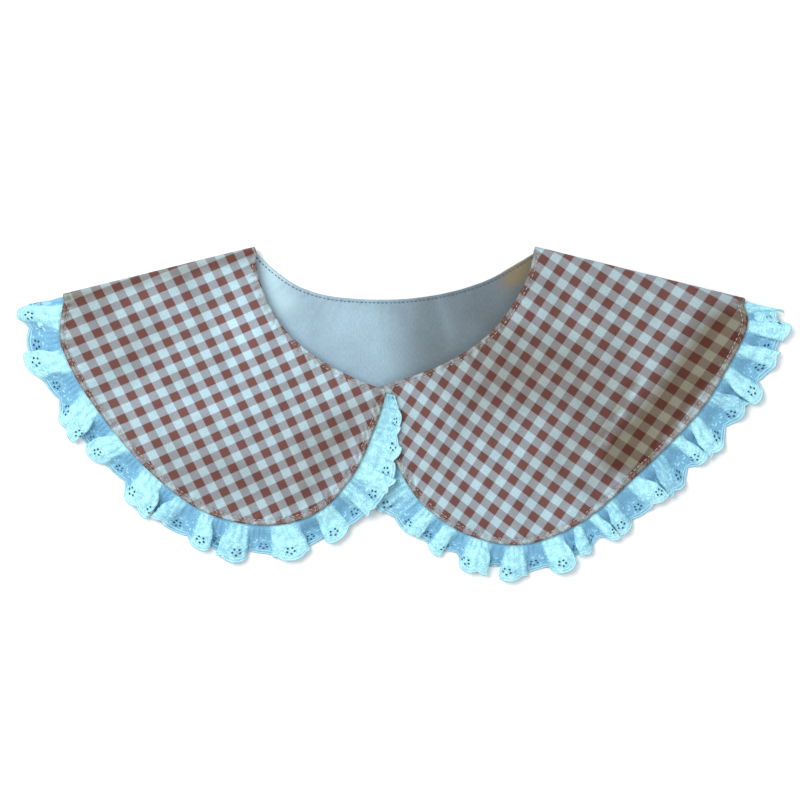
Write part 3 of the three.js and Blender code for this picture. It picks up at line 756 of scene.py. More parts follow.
# Eyelets of one scallop: steps along it from its middle, and steps in from its edge
EYELETS = ((-3, 9), (0, 7), (3, 9), (-2, 12), (2, 12))
RIM_RADIUS = 1
HOLE_RADIUS = 0.9
HOLE_FLOOR_RADIUS = 0.36
RIM_RISE = 0.2
EYELET_TONES = (0.1, -1)  # of the rim, and of the wall of the hole, which is painted in shade


def back_gathers():
    """The gathers under the collar, which lie low and vary a little, with one at each shoulder."""
    turn = np.arange(BACK_GATHERS)
    wave = np.sin(2.4 * turn)
    same = np.ones(BACK_GATHERS)
    gathers = dict(
        pitch=BACK_PITCH * (1 + 0.1 * np.sin(1.7 * turn)), rise=2 + 0.4 * wave,
        lean=5 * np.cos(np.pi * turn) + wave, wide=0.5 * same, reach=0.97 + 0.05 * wave, gap=0.88 * same,
        swing=3 * np.cos(1.3 * turn), rest=0 * same, pale=0.8 * same)
    fold = dict(zip(GATHER_COLUMNS.split(), FOLD_GATHER))
    return {name: np.concatenate([[fold[name]], values, [fold[name]]]) for name, values in gathers.items()}


def seam_path():
    """The seam line of the ruffle, finely, with the way out from it."""
    run, share = stations(420, 40, 420, 40, 440)
    base = line_in_cloth(run, share, 1, SEAM_DEPTH)
    length = section_measures(run, share)["length"]
    heading = line_in_cloth(run, share, 1 - np.minimum(HEADING_DEPTH / length, 0.5), SEAM_DEPTH)
    arc = arc_lengths(base)
    tangent = directions(base)
    turn = np.select([run == LEFT_FOLD, run == RIGHT_FOLD], [1 - share, share], 0)
    facing = np.zeros((len(run), 3))
    facing[:, 2] = np.select([run == BACK], [-1], 1)
    for side, outwards in ((LEFT_FOLD, LEFT_OUT), (RIGHT_FOLD, RIGHT_OUT)):
        on = run == side
        angle = np.pi * turn[on]
        facing[on, :2] = np.sin(angle)[:, None] * outwards
        facing[on, 2] = -np.cos(angle)
    out = np.cross(facing, tangent)
    out[:, 2] = 0
    out /= np.maximum(np.linalg.norm(out, axis=1, keepdims=True), 1e-9)
    # evened out over a few millimetres of seam
    even = np.linspace(0, arc[-1], 2400)
    spread = np.exp(-0.5 * (np.arange(-40, 41) / 16.0) ** 2)
    spread /= spread.sum()
    evened = []
    for axis in range(3):
        values = np.interp(even, arc, out[:, axis])
        padded = np.pad(values, 40, mode="edge")
        evened.append(np.interp(arc, even, np.convolve(padded, spread, "valid")))
    out = np.stack(evened, axis=1)
    out /= np.maximum(np.linalg.norm(out, axis=1, keepdims=True), 1e-9)
    ends = [arc[run == index][-1] for index in range(5)]
    return dict(arc=arc, base=base, heading=heading, out=out, tangent=tangent, run_ends=ends)


def at_arc(seam, name, arc):
    return np.stack([np.interp(arc, seam["arc"], seam[name][:, axis]) for axis in range(3)], axis=-1)


def fold_shape(turn, pitch, lean, wide, opening):
    """How far along the seam a gather's curve is, and its height between 0 and 1."""
    bend = OVERHANG * np.sin(4 * np.pi * turn) / (4 * np.pi) - (wide - 0.5) / 2 * np.sin(2 * np.pi * turn)
    height = (1 - np.cos(2 * np.pi * turn)) / 2
    return pitch * (turn + bend * opening) + lean * height * opening, height


def eased(place, values):
    """Values of the gathers, eased from one middle to the next."""
    centres = np.arange(len(values)) + 0.5
    index = np.clip(np.searchsorted(centres, place) - 1, 0, len(centres) - 2)
    blend = smooth(place - centres[index])
    return values[index] * (1 - blend) + values[index + 1] * blend


def ruffle_columns(gathers, start, end):
    """The columns of a strip, an even step of cloth apart at the tips, with the values of their gathers."""
    count = len(gathers["pitch"])
    pitch = gathers["pitch"] * (end - start) / gathers["pitch"].sum()
    first = start + np.concatenate([[0], np.cumsum(pitch)[:-1]])
    fine = np.linspace(0, 1, 401)
    gather, turn = [], []
    for index in range(count):
        lean, wide = gathers["lean"][index], gathers["wide"][index]
        along, height = fold_shape(fine, pitch[index] * FAN, lean, wide, 1)
        cloth_length = np.concatenate([[0], np.cumsum(np.hypot(
            np.diff(along), np.diff(height * gathers["rise"][index])))])
        cells = int(round(cloth_length[-1] / CELL))
        turns = np.interp(np.arange(cells) / cells, cloth_length / cloth_length[-1], fine)
        gather.append(np.full(cells, index))
        turn.append(turns)
    gather = np.concatenate(gather + [[count - 1]])
    turn = np.concatenate(turn + [[1.0]])
    place = gather + turn
    of_gather = {name: gathers[name][gather] for name in ("rise", "lean", "wide")}
    slow = {name: eased(place, gathers[name]) for name in ("reach", "swing", "rest", "pale")}
    after = np.minimum(gather + 1, count - 1)
    gap = np.where(turn < 0.5, gathers["gap"][gather], gathers["gap"][after])
    return dict(turn=turn, pitch=pitch[gather], first=first[gather], gap=gap, **of_gather, **slow)


def scallop_edge(steps):
    """How far the scalloped edge lies inside its outermost line, by steps along the cloth."""
    beside = np.abs(2 * ((steps / SCALLOP_CELLS + 0.5) % 1) - 1)
    return SCALLOP_DEPTH * beside**2.3


# Raised embroidery of one scallop: steps along from its middle, steps in from the edge, their spreads
EMBROIDERY = table(
    "along inside wide deep rise",
    (0, 9.6, 1, 1, 0.16),
    (-5.5, 7, 1, 1.6, 0.2),
    (5.5, 7, 1, 1.6, 0.2),
    (-8, 13, 2, 0.9, 0.24),
    (8, 13, 2, 0.9, 0.24),
    (-6, 16, 0.9, 1.6, 0.2),
    (6, 16, 0.9, 1.6, 0.2),
    (0, 16.5, 2.6, 0.8, 0.22),
    (-3, 19.5, 1.2, 0.9, 0.18),
    (3, 19.5, 1.2, 0.9, 0.18),
    (12, 18, 1.2, 1.2, 0.2),
    (12, 9.5, 0.9, 1.9, 0.22),
    (12, 22, 0.8, 1.4, 0.16),
)


def embroidery(steps, inside):
    """Height of the raised stitching, by steps along the cloth and steps in from its edge."""
    period = SCALLOP_CELLS
    from_middle = (steps + period / 2) % period - period / 2
    satin = 0.3 * np.exp(-((inside - 0.8) / 0.9) ** 2)
    arc = 0.26 * np.exp(-((inside - 4.2) / 0.6) ** 2)
    height = satin + arc
    for along, deep_in, wide, deep, rise in zip(*EMBROIDERY.values()):
        beside = (from_middle - along + period / 2) % period - period / 2
        height = height + rise * np.exp(-(beside / wide) ** 2 - ((inside - deep_in) / deep) ** 2)
    return height


def ruffle_middle(seam, columns):
    """The middle surface of the lace: columns along the cloth, rows from the heading to the edge."""
    row = np.arange(LACE_ROWS + 1)
    reached = row / LACE_ROWS
    opening = smooth(reached, -0.08, 0.55)
    column = {name: values[:, None] for name, values in columns.items()}
    steps = np.arange(len(columns["turn"]))[:, None]
    along, height = fold_shape(column["turn"], column["pitch"], column["lean"], column["wide"], opening)
    along = along + column["first"]
    reach = column["reach"] * (column["gap"] + (1 - column["gap"]) * height)
    from_end = np.minimum(along, seam["arc"][-1] - along)
    reach = reach * (END_WIDTH + (1 - END_WIDTH) * smooth(from_end, -END_TAPER, END_TAPER) ** 2)
    out = reach * (row * CELL - scallop_edge(steps) * reached**5)
    shifted = along + np.tan(np.radians(column["swing"])) * out * reached * height
    base = at_arc(seam, "base", shifted)
    ways = at_arc(seam, "out", shifted)
    seam_height = np.interp(shifted, seam["arc"], seam["base"][:, 2])
    rest = column["rest"] + TABLE_CLEAR
    points = base + ways * (SEAM_STEP + out)[..., None]
    micro = np.sin(2 * np.pi * shifted / MICRO_PITCH + 2.2 * np.sin(shifted / 4.3))
    micro = micro * smooth(out, 0, 1.5) * np.exp(-out / MICRO_LENGTH)
    ripple = np.sin(2 * np.pi * steps * CELL / RIPPLE_PITCH + 1.6 * np.sin(steps * CELL / 9.1))
    ripple = ripple * RIPPLE_RISE * smooth(reached, 0.05, 0.4) * (0.4 + 0.6 * height)
    risen = column["rise"] * height * opening * (1 - TIP_DROOP * smooth(reached, 0.6, 1))
    low = seam_height + smooth(reached, 0, 0.5) * (rest - seam_height)
    points[..., 2] = np.maximum(low + risen + MICRO_RISE * micro + ripple, TABLE_CLEAR)
    heading = at_arc(seam, "heading", along[:, :1])
    edge = at_arc(seam, "base", along[:, :1])
    # Painted light on the crests and painted shade in the valleys, and on the fine pleats by the seam
    folded = smooth(column["rise"], 0, FLAT_RISE)
    painted_shading = (FLAT_LIGHT + (height - FLAT_LIGHT) * folded) * column["pale"]
    return np.concatenate([heading, edge, points], axis=1), painted_shading + MICRO_SHADING * micro


def grid_normals(grid):
    along = np.gradient(grid, axis=0)
    out = np.gradient(grid, axis=1)
    normal = np.cross(along, out)
    return normal / np.maximum(np.linalg.norm(normal, axis=-1, keepdims=True), 1e-9)


HIDDEN_ROWS = 2  # the heading and the seam, before the free rows


def eyelet_places(columns_count):
    """Column and row of the middle of each eyelet."""
    found = []
    for middle in range(0, columns_count, SCALLOP_CELLS):
        for along, inside in EYELETS:
            column = middle + along
            if 2 <= column < columns_count - 2:
                found.append((column, HIDDEN_ROWS + LACE_ROWS - inside))
    return np.array(found)


def lace_strip(name, seam, gathers, start, end):
    """One closed strip of lace with its eyelets cut through."""
    columns = ruffle_columns(gathers, start, end)
    middle, height = ruffle_middle(seam, columns)
    count, rows = middle.shape[:2]
    steps = np.arange(count)[:, None] * np.ones(rows)
    inside = (LACE_ROWS + HIDDEN_ROWS - np.arange(rows))[None, :] * np.ones((count, 1))
    raised = embroidery(steps, inside - (scallop_edge(steps) / CELL * 0.4))
    raised[:, :HIDDEN_ROWS] = 0
    normal = grid_normals(middle)
    outer = middle + normal * (LACE_THICKNESS / 2 + raised)[..., None]
    inner = middle - normal * (LACE_THICKNESS / 2 + 0.35 * raised)[..., None]
    open_cells = np.zeros((count - 1, rows - 1), bool)
    eyelets = eyelet_places(count)
    for column_step in (-1, 0):
        for row_step in (-1, 0):
            open_cells[eyelets[:, 0] + column_step, eyelets[:, 1] + row_step] = True
    faces = shell_faces(count, rows, open_cells)
    crest = np.concatenate([height[:, :1], height[:, :1], height], axis=1)
    cloth_uv = np.stack([steps * CELL, (rows - 1 - inside) * CELL], axis=-1)
    points = [flat(outer), flat(inner)]
    uvs = [flat(cloth_uv), flat(cloth_uv)]
    crests = [flat(crest), flat(crest)]
    work = [flat(raised), flat(raised)]
    rims = eyelet_rims(middle, normal, eyelets, cloth_uv, crest)
    points += rims["points"]
    uvs += rims["uvs"]
    crests += rims["crests"]
    work += rims["work"]
    piece = make_mesh(
        name, np.vstack(points), np.vstack([faces, rims["faces"]]), {"cloth": np.vstack(uvs)},
        {"crest": np.concatenate(crests), "work": np.concatenate(work)})
    return piece, (count - 1) * CELL * MM


RING = ((1, 0), (1, 1), (0, 1), (-1, 1), (-1, 0), (-1, -1), (0, -1), (1, -1))


def eyelet_rims(middle, normal, eyelets, cloth_uv, crest):
    """Round raised rims inside the square openings, and the walls of the holes."""
    count, rows = middle.shape[:2]
    column, row = eyelets[:, 0], eyelets[:, 1]
    centre = middle[column, row]
    along = (middle[column + 1, row] - middle[column - 1, row]) / 2
    out = (middle[column, row + 1] - middle[column, row - 1]) / 2
    up = normal[column, row]
    number = len(eyelets)
    first = 2 * count * rows
    shell = count * rows
    result = dict(points=[], uvs=[], crests=[], work=[])
    index = {}
    for ring, (radius, rise) in enumerate(((RIM_RADIUS, RIM_RISE), (HOLE_RADIUS, RIM_RISE * 0.8))):
        for side, sign in enumerate((1, -1)):
            for step in range(len(RING)):
                angle = 2 * np.pi * step / len(RING)
                held = HOLE_FLOOR_RADIUS if ring == 1 and side == 1 else radius
                place = centre + held * (np.cos(angle) * along + np.sin(angle) * out)
                lift = LACE_THICKNESS / 2 + (rise if side == 0 else 0.4 * rise)
                result["points"].append(place + sign * lift * up)
                result["uvs"].append(cloth_uv[column, row])
                result["crests"].append(crest[column, row])
                result["work"].append(np.full(number, EYELET_TONES[ring]))
                index[ring, side, step] = first + np.arange(number)
                first += number
    faces = []
    for step in range(len(RING)):
        onwards = (step + 1) % len(RING)
        here, there = RING[step], RING[onwards]
        border = (column + here[0]) * rows + row + here[1]
        border_next = (column + there[0]) * rows + row + there[1]
        for side in range(2):
            loops = [
                (border + side * shell, border_next + side * shell, index[0, side, onwards],
                 index[0, side, step]),
                (index[0, side, step], index[0, side, onwards], index[1, side, onwards],
                 index[1, side, step]),
            ]
            for loop in loops:
                faces.append(np.stack(loop if side == 0 else loop[::-1], axis=-1))
        wall = (index[1, 0, step], index[1, 0, onwards], index[1, 1, onwards], index[1, 1, step])
        faces.append(np.stack(wall, axis=-1))
    result["faces"] = np.vstack(faces)
    return result


# Stitches
OUTER_PITCH = 2.7
STITCH_SHARE = 0.74  # of the pitch that each stitch covers
THREAD_RADIUS = 0.2
LINING_THREAD_RADIUS = 0.26
NECK_LINING_STITCH = 1.7
LINING_PITCH = 2.3
TUBE_SIDES = 6
TUBE_RINGS = table(
    "along radius rise",
    (0, 0.55, -1.3),
    (0.16, 0.9, 0.25),
    (0.5, 1, 0.6),
    (0.84, 0.9, 0.25),
    (1, 0.55, -1.3),
)


def stitches(path, pitch, radius, covered):
    """Points and faces of a row of short thread tubes along a path on the cloth."""
    arc = arc_lengths(path)
    count = int(arc[-1] / pitch)
    start = (np.arange(count) + 0.1) * pitch
    where = lambda place: np.stack([np.interp(place, arc, path[:, axis]) for axis in range(3)], axis=-1)
    way = where(start + pitch * covered) - where(start)
    way /= np.linalg.norm(way, axis=1, keepdims=True)
    up = np.array([0, 0, 1.0])
    side = np.cross(up, way)
    points = np.empty((count, len(TUBE_RINGS["along"]), TUBE_SIDES, 3))
    for ring, (along, thick, rise) in enumerate(zip(*TUBE_RINGS.values())):
        centre = where(start + pitch * covered * along) + up * rise * radius
        for corner in range(TUBE_SIDES):
            angle = 2 * np.pi * corner / TUBE_SIDES
            offset = np.cos(angle) * side + np.sin(angle) * up
            points[:, ring, corner] = centre + thick * radius * offset
    ring_faces = []
    for ring in range(len(TUBE_RINGS["along"]) - 1):
        for corner in range(TUBE_SIDES):
            here, there = ring * TUBE_SIDES, (ring + 1) * TUBE_SIDES
            onwards = (corner + 1) % TUBE_SIDES
            ring_faces.append((here + corner, here + onwards, there + onwards, there + corner))
    last = (len(TUBE_RINGS["along"]) - 1) * TUBE_SIDES
    for base, order in ((0, (0, 5, 4, 3)), (0, (0, 3, 2, 1)), (last, (0, 1, 2, 3)), (last, (0, 3, 4, 5))):
        ring_faces.append(tuple(base + corner for corner in order))
    faces = np.array(ring_faces) + (np.arange(count) * points.shape[1] * TUBE_SIDES)[:, None, None]
    return points.reshape(-1, 3), faces.reshape(-1, 4)


def stitch_piece(name, paths, pitch, radius, covered):
    points, faces, total = [], [], 0
    for path in paths:
        found, loops = stitches(path, pitch, radius, covered)
        points.append(found)
        faces.append(loops + total)
        total += len(found)
    return make_mesh(name, np.vstack(points), np.vstack(faces))


def stitch_path(side, from_edge, from_neck, first, last):
    """A path on a lobe's gingham, inside its outer edge or its neck edge."""
    run, share = stations(*(600 if index == side else 0 for index in range(5)))
    measures = section_measures(run, share)
    if from_edge:
        across = 1 - from_edge / measures["edge_square"] / measures["length"]
    else:
        across = from_neck / measures["neck_square"] / measures["length"]
    kept = (share > first) & (share < last)
    return line_in_cloth(run, share, across, GROOVE_DEPTH * 0.75)[kept]


def make_topstitch():
    paths = [
        stitch_path(LEFT_LOBE, OUTER_STITCH, 0, 0.12, 1),
        stitch_path(RIGHT_LOBE, OUTER_STITCH, 0, 0, 0.88),
        stitch_path(LEFT_LOBE, 0, NECK_STITCH, 0.12, 1),
        stitch_path(RIGHT_LOBE, 0, NECK_STITCH, 0, 0.88),
    ]
    return stitch_piece("gingham_topstitch", paths, OUTER_PITCH, THREAD_RADIUS, STITCH_SHARE)


def make_lining_stitch():
    run, share = stations(0, 0, 500, 0, 0)
    measures = section_measures(run, share)
    inset = NECK_LINING_STITCH + LINING_INSET * NECK_INSET_SHARE
    across = inset / measures["neck_square"] / measures["length"]
    path = line_in_cloth(run, share, across, INNER_LINING_DEPTH + LINING - 0.12)
    return stitch_piece("lining_topstitch", [path], LINING_PITCH, LINING_THREAD_RADIUS, 0.6)


# Materials
def add(tree, kind, values=(), links=(), **settings):
    """A node with its settings, its inputs' values, and links from other nodes' outputs."""
    made = tree.nodes.new(kind)
    for name, value in settings.items():
        setattr(made, name, value)
    for socket, value in dict(values).items():
        made.inputs[socket].default_value = value
    for socket, source in dict(links).items():
        tree.links.new(source, made.inputs[socket])
    return made


def maths(tree, kind, first, second):
    """A maths node of two inputs, each a number or another node's output."""
    made = tree.nodes.new("ShaderNodeMath")
    made.operation = kind
    for socket, given in enumerate((first, second)):
        if isinstance(given, (int, float)):
            made.inputs[socket].default_value = given
        else:
            tree.links.new(given, made.inputs[socket])
    return made.outputs[0]


def times(tree, first, second):
    return maths(tree, "MULTIPLY", first, second)


def mixed(tree, factor, first, second, blend="MIX"):
    """A colour mix. Each input is a colour, a number or an output."""
    made = tree.nodes.new("ShaderNodeMix")
    made.data_type = "RGBA"
    made.blend_type = blend
    for socket, given in ((0, factor), (6, first), (7, second)):
        if isinstance(given, (int, float)):
            made.inputs[socket].default_value = given
        elif isinstance(given, tuple):
            made.inputs[socket].default_value = (*given, 1)
        else:
            tree.links.new(given, made.inputs[socket])
    return made.outputs[2]


def new_material(name, roughness, sheen, specular=0.3):
    material = bpy.data.materials.new(name)
    material.use_nodes = True
    tree = material.node_tree
    shader = tree.nodes["Principled BSDF"]
    shader.inputs["Roughness"].default_value = roughness
    shader.inputs["Sheen Weight"].default_value = sheen
    shader.inputs["Sheen Roughness"].default_value = 0.5
    shader.inputs["Specular IOR Level"].default_value = specular
    return material, tree, shader


def attribute(tree, name):
    return add(tree, "ShaderNodeAttribute", attribute_name=name).outputs["Fac"]


def noise(tree, vector, scale, detail=2, roughness=0.5):
    made = add(tree, "ShaderNodeTexNoise", {"Scale": scale, "Detail": detail, "Roughness": roughness},
               {"Vector": vector})
    return made.outputs["Fac"]


def ranged(tree, value, low, high, to_low=0.0, to_high=1.0, kind="SMOOTHSTEP"):
    made = add(tree, "ShaderNodeMapRange", {1: low, 2: high, 3: to_low, 4: to_high}, {0: value})
    made.interpolation_type = kind
    return made.outputs[0]


def weave_height(tree, along, across, threads):
    """Plain weave: threads over and under each other, from two coordinates."""
    warp = maths(tree, "SINE", times(tree, along, threads), 0)
    weft = maths(tree, "SINE", times(tree, across, threads), 0)
    return times(tree, warp, weft)


def add_bump(tree, shader, height, strength, distance):
    bump = add(tree, "ShaderNodeBump", {"Strength": strength, "Distance": distance * MM}, {"Height": height})
    tree.links.new(bump.outputs[0], shader.inputs["Normal"])


LIGHT_CHECK = (0.43, 0.585, 0.645)
HALF_CHECK = (0.288, 0.306, 0.335)
DARK_CHECK = (0.168, 0.069, 0.06)
SEAM_MOTTLE = (0.2, 0.13, 0.11)
SEAM_TUFT = (0.5, 0.56, 0.55)
SHADED = (0.5, 0.345, 0.235)
BRIGHTENED = (1.15, 1.19, 1.22)
BRIGHTENED_TONE = -0.3
THREAD_TURNS = 150.0  # radians of weave for each turn of the check


def gingham_material():
    material, tree, shader = new_material("gingham", 0.88, 0.05, 0.2)
    uv = add(tree, "ShaderNodeUVMap", uv_map="check").outputs[0]
    ragged = maths(tree, "SUBTRACT", noise(tree, uv, 26, 3, 0.7), 0.5)
    split = add(tree, "ShaderNodeSeparateXYZ", links={0: uv})
    stripes = []
    for axis in (0, 1):
        turns = maths(tree, "ADD", split.outputs[axis], times(tree, ragged, 0.06))
        folded = maths(tree, "PINGPONG", turns, 0.5)
        stripes.append(ranged(tree, folded, 0.225, 0.275))
    either = maths(tree, "MAXIMUM", *stripes)
    both = times(tree, *stripes)
    colour = mixed(tree, both, mixed(tree, either, LIGHT_CHECK, HALF_CHECK), DARK_CHECK)
    slubs = noise(tree, uv, 11, 4, 0.85)
    colour = mixed(tree, 1.0, colour, ranged_grey(tree, slubs, 0.3, 0.7, 0.78, 1.2), "MULTIPLY")
    wide = noise(tree, uv, 0.55, 2, 0.5)
    colour = mixed(tree, ranged(tree, wide, 0.35, 0.7, 0, 0.22), colour, (0.4, 0.38, 0.33), "MULTIPLY")
    mottled = noise(tree, uv, 9, 3, 0.8)
    seam = times(tree, attribute(tree, "seam"), ranged(tree, mottled, 0.45, 0.6))
    colour = mixed(tree, times(tree, seam, 0.6), colour, SEAM_MOTTLE)
    tufted = ranged(tree, noise(tree, uv, 12, 2, 0.6), 0.54, 0.6)
    tufts = times(tree, attribute(tree, "seam"), tufted)
    colour = mixed(tree, times(tree, tufts, 0.55), colour, SEAM_TUFT)
    # Painted shade and painted highlight, multiplied into the check's colour
    painted_shading = ranged(tree, attribute(tree, "painted_shading"), BRIGHTENED_TONE, 1, 0, 1, "LINEAR")
    colour = mixed(tree, 1.0, colour, mixed(tree, painted_shading, BRIGHTENED, SHADED), "MULTIPLY")
    tree.links.new(colour, shader.inputs["Base Color"])
    weave = weave_height(tree, split.outputs[0], split.outputs[1], THREAD_TURNS)
    rough = maths(tree, "ADD", times(tree, weave, 0.5), times(tree, mottled, 1.2))
    add_bump(tree, shader, rough, 0.5, 0.16)
    return material


def ranged_grey(tree, value, low, high, to_low, to_high):
    grey = ranged(tree, value, low, high, to_low, to_high, "LINEAR")
    return add(tree, "ShaderNodeCombineColor", links={0: grey, 1: grey, 2: grey}).outputs[0]


LINING_COLOUR = (0.338, 0.468, 0.555)
LINING_SHADE_COLOUR = (0.4, 0.35, 0.33)
LINING_OLIVE_SHADE = (0.2, 0.16, 0.1)


def lining_material():
    material, tree, shader = new_material("lining", 0.85, 0.2)
    uv = add(tree, "ShaderNodeUVMap", uv_map="cloth").outputs[0]
    split = add(tree, "ShaderNodeSeparateXYZ", links={0: uv})
    streaked = add(tree, "ShaderNodeVectorMath", {1: (1, 0.35, 1)}, {0: uv}, operation="MULTIPLY").outputs[0]
    slubs = noise(tree, streaked, 1.3, 4, 0.8)
    colour = mixed(tree, 1.0, LINING_COLOUR, ranged_grey(tree, slubs, 0.3, 0.7, 0.84, 1.14), "MULTIPLY")
    wide = noise(tree, uv, 0.045, 2, 0.5)
    colour = mixed(tree, ranged(tree, wide, 0.35, 0.7, 0, 0.2), colour, (0.5, 0.48, 0.5), "MULTIPLY")
    # Painted shade, and painted highlights where the value is negative
    painted_shading = maths(tree, "MINIMUM", maths(tree, "MAXIMUM", attribute(tree, "painted_shading"), 0), 1)
    colour = mixed(tree, painted_shading, colour, LINING_SHADE_COLOUR, "MULTIPLY")
    pale = maths(tree, "MAXIMUM", times(tree, attribute(tree, "painted_shading"), -1), 0)
    colour = mixed(tree, pale, colour, (0.62, 0.85, 0.9))
    # Painted shade in the right shoulder's inner corner, browned where the gingham shows through
    olive_shade = maths(tree, "MINIMUM", attribute(tree, "olive_shade"), 1)
    colour = mixed(tree, olive_shade, colour, LINING_OLIVE_SHADE)
    tree.links.new(colour, shader.inputs["Base Color"])
    weave = weave_height(tree, split.outputs[0], split.outputs[1], 13.0)
    rough = maths(tree, "ADD", times(tree, weave, 0.5), slubs)
    add_bump(tree, shader, rough, 0.55, 0.2)
    return material


# Painted light on the lace's crests and painted shade in its valleys
LACE_LIT_CREST = (0.5, 0.92, 0.97)
LACE_SHADED_VALLEY = (0.16, 0.38, 0.58)
LACE_RAISED = (0.66, 0.98, 1)
LACE_HOLLOW_SHADE = (0.13, 0.42, 0.58)
EYELET_WALL_SHADE = (0.015, 0.05, 0.08)


def lace_material():
    material, tree, shader = new_material("lace", 0.7, 0.08)
    uv = add(tree, "ShaderNodeUVMap", uv_map="cloth").outputs[0]
    split = add(tree, "ShaderNodeSeparateXYZ", links={0: uv})
    # Painted light on the gathers' crests and painted shade in their valleys, varied by random clouds and
    # mottling
    crest = ranged(tree, attribute(tree, "crest"), 0.1, 0.85)
    cloudy = noise(tree, uv, 0.25, 3, 0.6)
    crest = times(tree, crest, ranged(tree, cloudy, 0.32, 0.6, 0.45, 1.05))
    mottled = noise(tree, uv, 0.95, 3, 0.7)
    crest = maths(tree, "ADD", crest, ranged(tree, mottled, 0.36, 0.62, -0.2, 0.25))
    crest = maths(tree, "MAXIMUM", maths(tree, "MINIMUM", crest, 1), 0)
    colour = mixed(tree, crest, LACE_SHADED_VALLEY, LACE_LIT_CREST)
    # Random darker blotches, and painted shade in the grooves between the raised leaves
    leaves = add(tree, "ShaderNodeTexVoronoi", {"Scale": 0.42}, {"Vector": uv}, feature="DISTANCE_TO_EDGE")
    between = ranged(tree, leaves.outputs["Distance"], 0.02, 0.14, 1, 0)
    region = ranged(tree, split.outputs[1], 10, 16)
    between = times(tree, between, region)
    hollow = ranged(tree, noise(tree, uv, 0.5, 3, 0.8), 0.48, 0.62)
    hollow = maths(tree, "MAXIMUM", hollow, times(tree, between, 0.9))
    colour = mixed(tree, times(tree, hollow, 0.5), colour, LACE_HOLLOW_SHADE)
    work = ranged(tree, attribute(tree, "work"), 0.04, 0.2)
    colour = mixed(tree, times(tree, work, 0.6), colour, LACE_RAISED)
    # Painted shade along the lace's outer edge
    rim = ranged(tree, split.outputs[1], LACE_WIDTH + 0.4, LACE_WIDTH + 1.2)
    colour = mixed(tree, times(tree, rim, 0.6), colour, LACE_HOLLOW_SHADE)
    # Painted shade on the walls of the eyelet holes
    hole = ranged(tree, attribute(tree, "work"), -0.9, 0, 1, 0)
    colour = mixed(tree, hole, colour, EYELET_WALL_SHADE)
    tree.links.new(colour, shader.inputs["Base Color"])
    weave = weave_height(tree, split.outputs[0], split.outputs[1], 14.0)
    satin = maths(tree, "SINE", times(tree, split.outputs[0], 16.0), 0)
    satin = times(tree, satin, work)
    rough = maths(tree, "ADD", times(tree, weave, 0.35), times(tree, satin, 0.5))
    rough = maths(tree, "ADD", rough, times(tree, mottled, 1.6))
    rough = maths(tree, "SUBTRACT", rough, times(tree, between, 1.2))
    add_bump(tree, shader, rough, 0.6, 0.22)
    return material


THREAD_COLOUR = (0.46, 0.45, 0.41)
LINING_THREAD_COLOUR = (0.07, 0.1, 0.14)


def thread_material(name, colour):
    material, tree, shader = new_material(name, 0.6, 0.3)
    place = add(tree, "ShaderNodeTexCoord").outputs["Object"]
    twist = noise(tree, place, 900, 2, 0.6)
    tree.links.new(mixed(tree, 1.0, colour, ranged_grey(tree, twist, 0.3, 0.7, 0.75, 1.15), "MULTIPLY"),
                   shader.inputs["Base Color"])
    add_bump(tree, shader, twist, 0.5, 0.08)
    return material


def stud_material():
    material, tree, shader = new_material("stud", 0.32, 0.0, 0.5)
    shader.inputs["Metallic"].default_value = 1.0
    place = add(tree, "ShaderNodeTexCoord").outputs["Object"]
    worn = noise(tree, place, 700, 3, 0.6)
    tree.links.new(mixed(tree, worn, (0.62, 0.63, 0.64), (0.78, 0.79, 0.8)), shader.inputs["Base Color"])
    tree.links.new(ranged(tree, worn, 0.3, 0.7, 0.25, 0.45), shader.inputs["Roughness"])
    add_bump(tree, shader, worn, 0.2, 0.05)
    return material


def floor_material():
    material, tree, shader = new_material("floor", 0.9, 0.0, 0.1)
    place = add(tree, "ShaderNodeTexCoord").outputs["Object"]
    soft = noise(tree, place, 3, 2, 0.5)
    tree.links.new(mixed(tree, soft, (0.93, 0.93, 0.93), (0.96, 0.96, 0.96)), shader.inputs["Base Color"])
    return material


# Camera, straight above as in the photo
PHOTO_SIDE = 440  # width of the view at the collar
VIEW_MIDDLE = (2.75, -12.0)
CAMERA_HEIGHT = 1400
VIEW_HEIGHT = 5
SENSOR = 36


def add_camera():
    data = bpy.data.cameras.new("camera")
    data.sensor_width = SENSOR
    data.lens = SENSOR * (CAMERA_HEIGHT - VIEW_HEIGHT) / PHOTO_SIDE
    data.clip_end = 20
    camera = bpy.data.objects.new("camera", data)
    camera.location = (VIEW_MIDDLE[0] * MM, VIEW_MIDDLE[1] * MM, CAMERA_HEIGHT * MM)
    bpy.context.scene.collection.objects.link(camera)
    bpy.context.scene.camera = camera


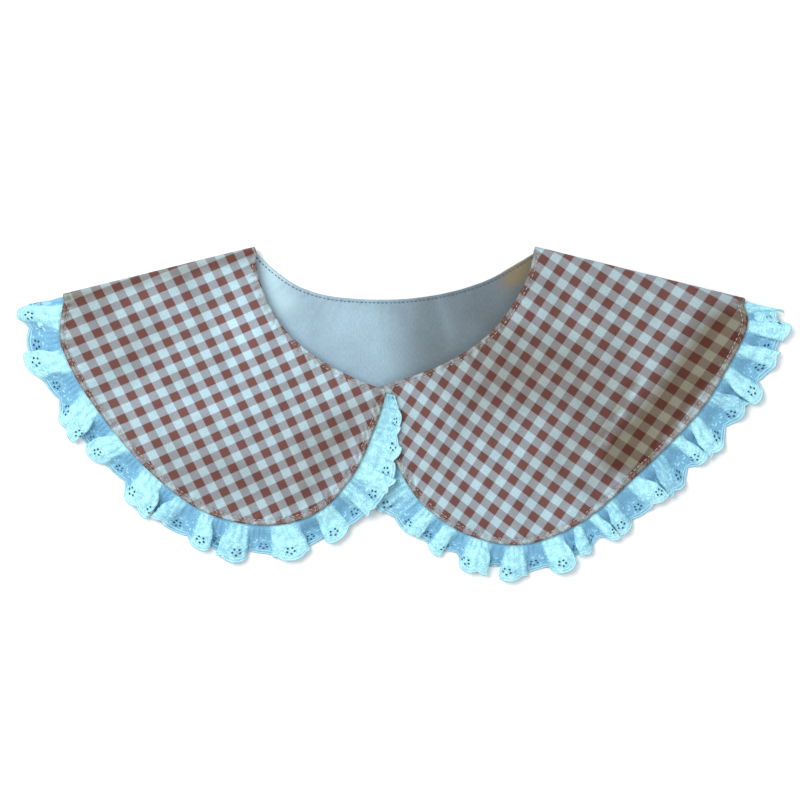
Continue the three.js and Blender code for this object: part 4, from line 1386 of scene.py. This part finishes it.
def add_light(name, place, size, power, colour):
    data = bpy.data.lights.new(name, "AREA")
    data.shape = "DISK"
    data.size = size
    data.energy = power
    data.color = colour
    lamp = bpy.data.objects.new(name, data)
    lamp.location = place
    lamp.rotation_euler = (-Vector(place)).to_track_quat("-Z", "Y").to_euler()
    bpy.context.scene.collection.objects.link(lamp)


def add_studio():
    add_light("key", (-0.8, 0.6, 1.25), 1.3, 25, (0.93, 0.98, 1.0))
    add_light("fill", (1.1, -0.6, 1.3), 1.2, 7, (1.0, 0.98, 0.95))
    world = bpy.data.worlds.new("studio")
    world.use_nodes = True
    world.node_tree.nodes["Background"].inputs["Color"].default_value = (0.93, 0.97, 1.0, 1)
    world.node_tree.nodes["Background"].inputs["Strength"].default_value = 0.62
    bpy.context.scene.world = world
    bpy.context.scene.view_settings.view_transform = "Standard"


def add_floor():
    side = 3
    below = -0.0002
    mesh = bpy.data.meshes.new("floor")
    corners = [(-side, -side, below), (side, -side, below), (side, side, below), (-side, side, below)]
    mesh.from_pydata(corners, [], [(0, 1, 2, 3)])
    floor = bpy.data.objects.new("floor", mesh)
    bpy.context.scene.collection.objects.link(floor)
    mesh.materials.append(floor_material())


add_camera()
add_studio()
add_floor()

gingham = finish_piece(make_gingham(), gingham_material(), "gingham", "gingham_shell")
lining = finish_piece(make_lining(), lining_material(), "lining", "lining")
seam = seam_path()
left_end, left_fold_end, back_end, right_fold_end, right_end = seam["run_ends"]
left_joint = (left_end + left_fold_end) / 2
right_joint = (back_end + right_fold_end) / 2
lace_cloth = lace_material()
for name, gathers, start, end in (
    ("lace_left", LEFT_GATHERS, 0, left_joint),
    ("lace_back", back_gathers(), left_joint, right_joint),
    ("lace_right", RIGHT_GATHERS, right_joint, right_end),
):
    strip, cut_length = lace_strip(name, seam, gathers, start, end)
    piece = finish_piece(strip, lace_cloth, "lace", "lace_ruffle")

topstitch = finish_piece(make_topstitch(), thread_material("thread", THREAD_COLOUR), "gingham")
lining_thread = thread_material("lining_thread", LINING_THREAD_COLOUR)
lining_stitch = finish_piece(make_lining_stitch(), lining_thread, "lining")
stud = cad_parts["snap_fastener"]
stud.data.materials.clear()
stud.data.materials.append(stud_material())
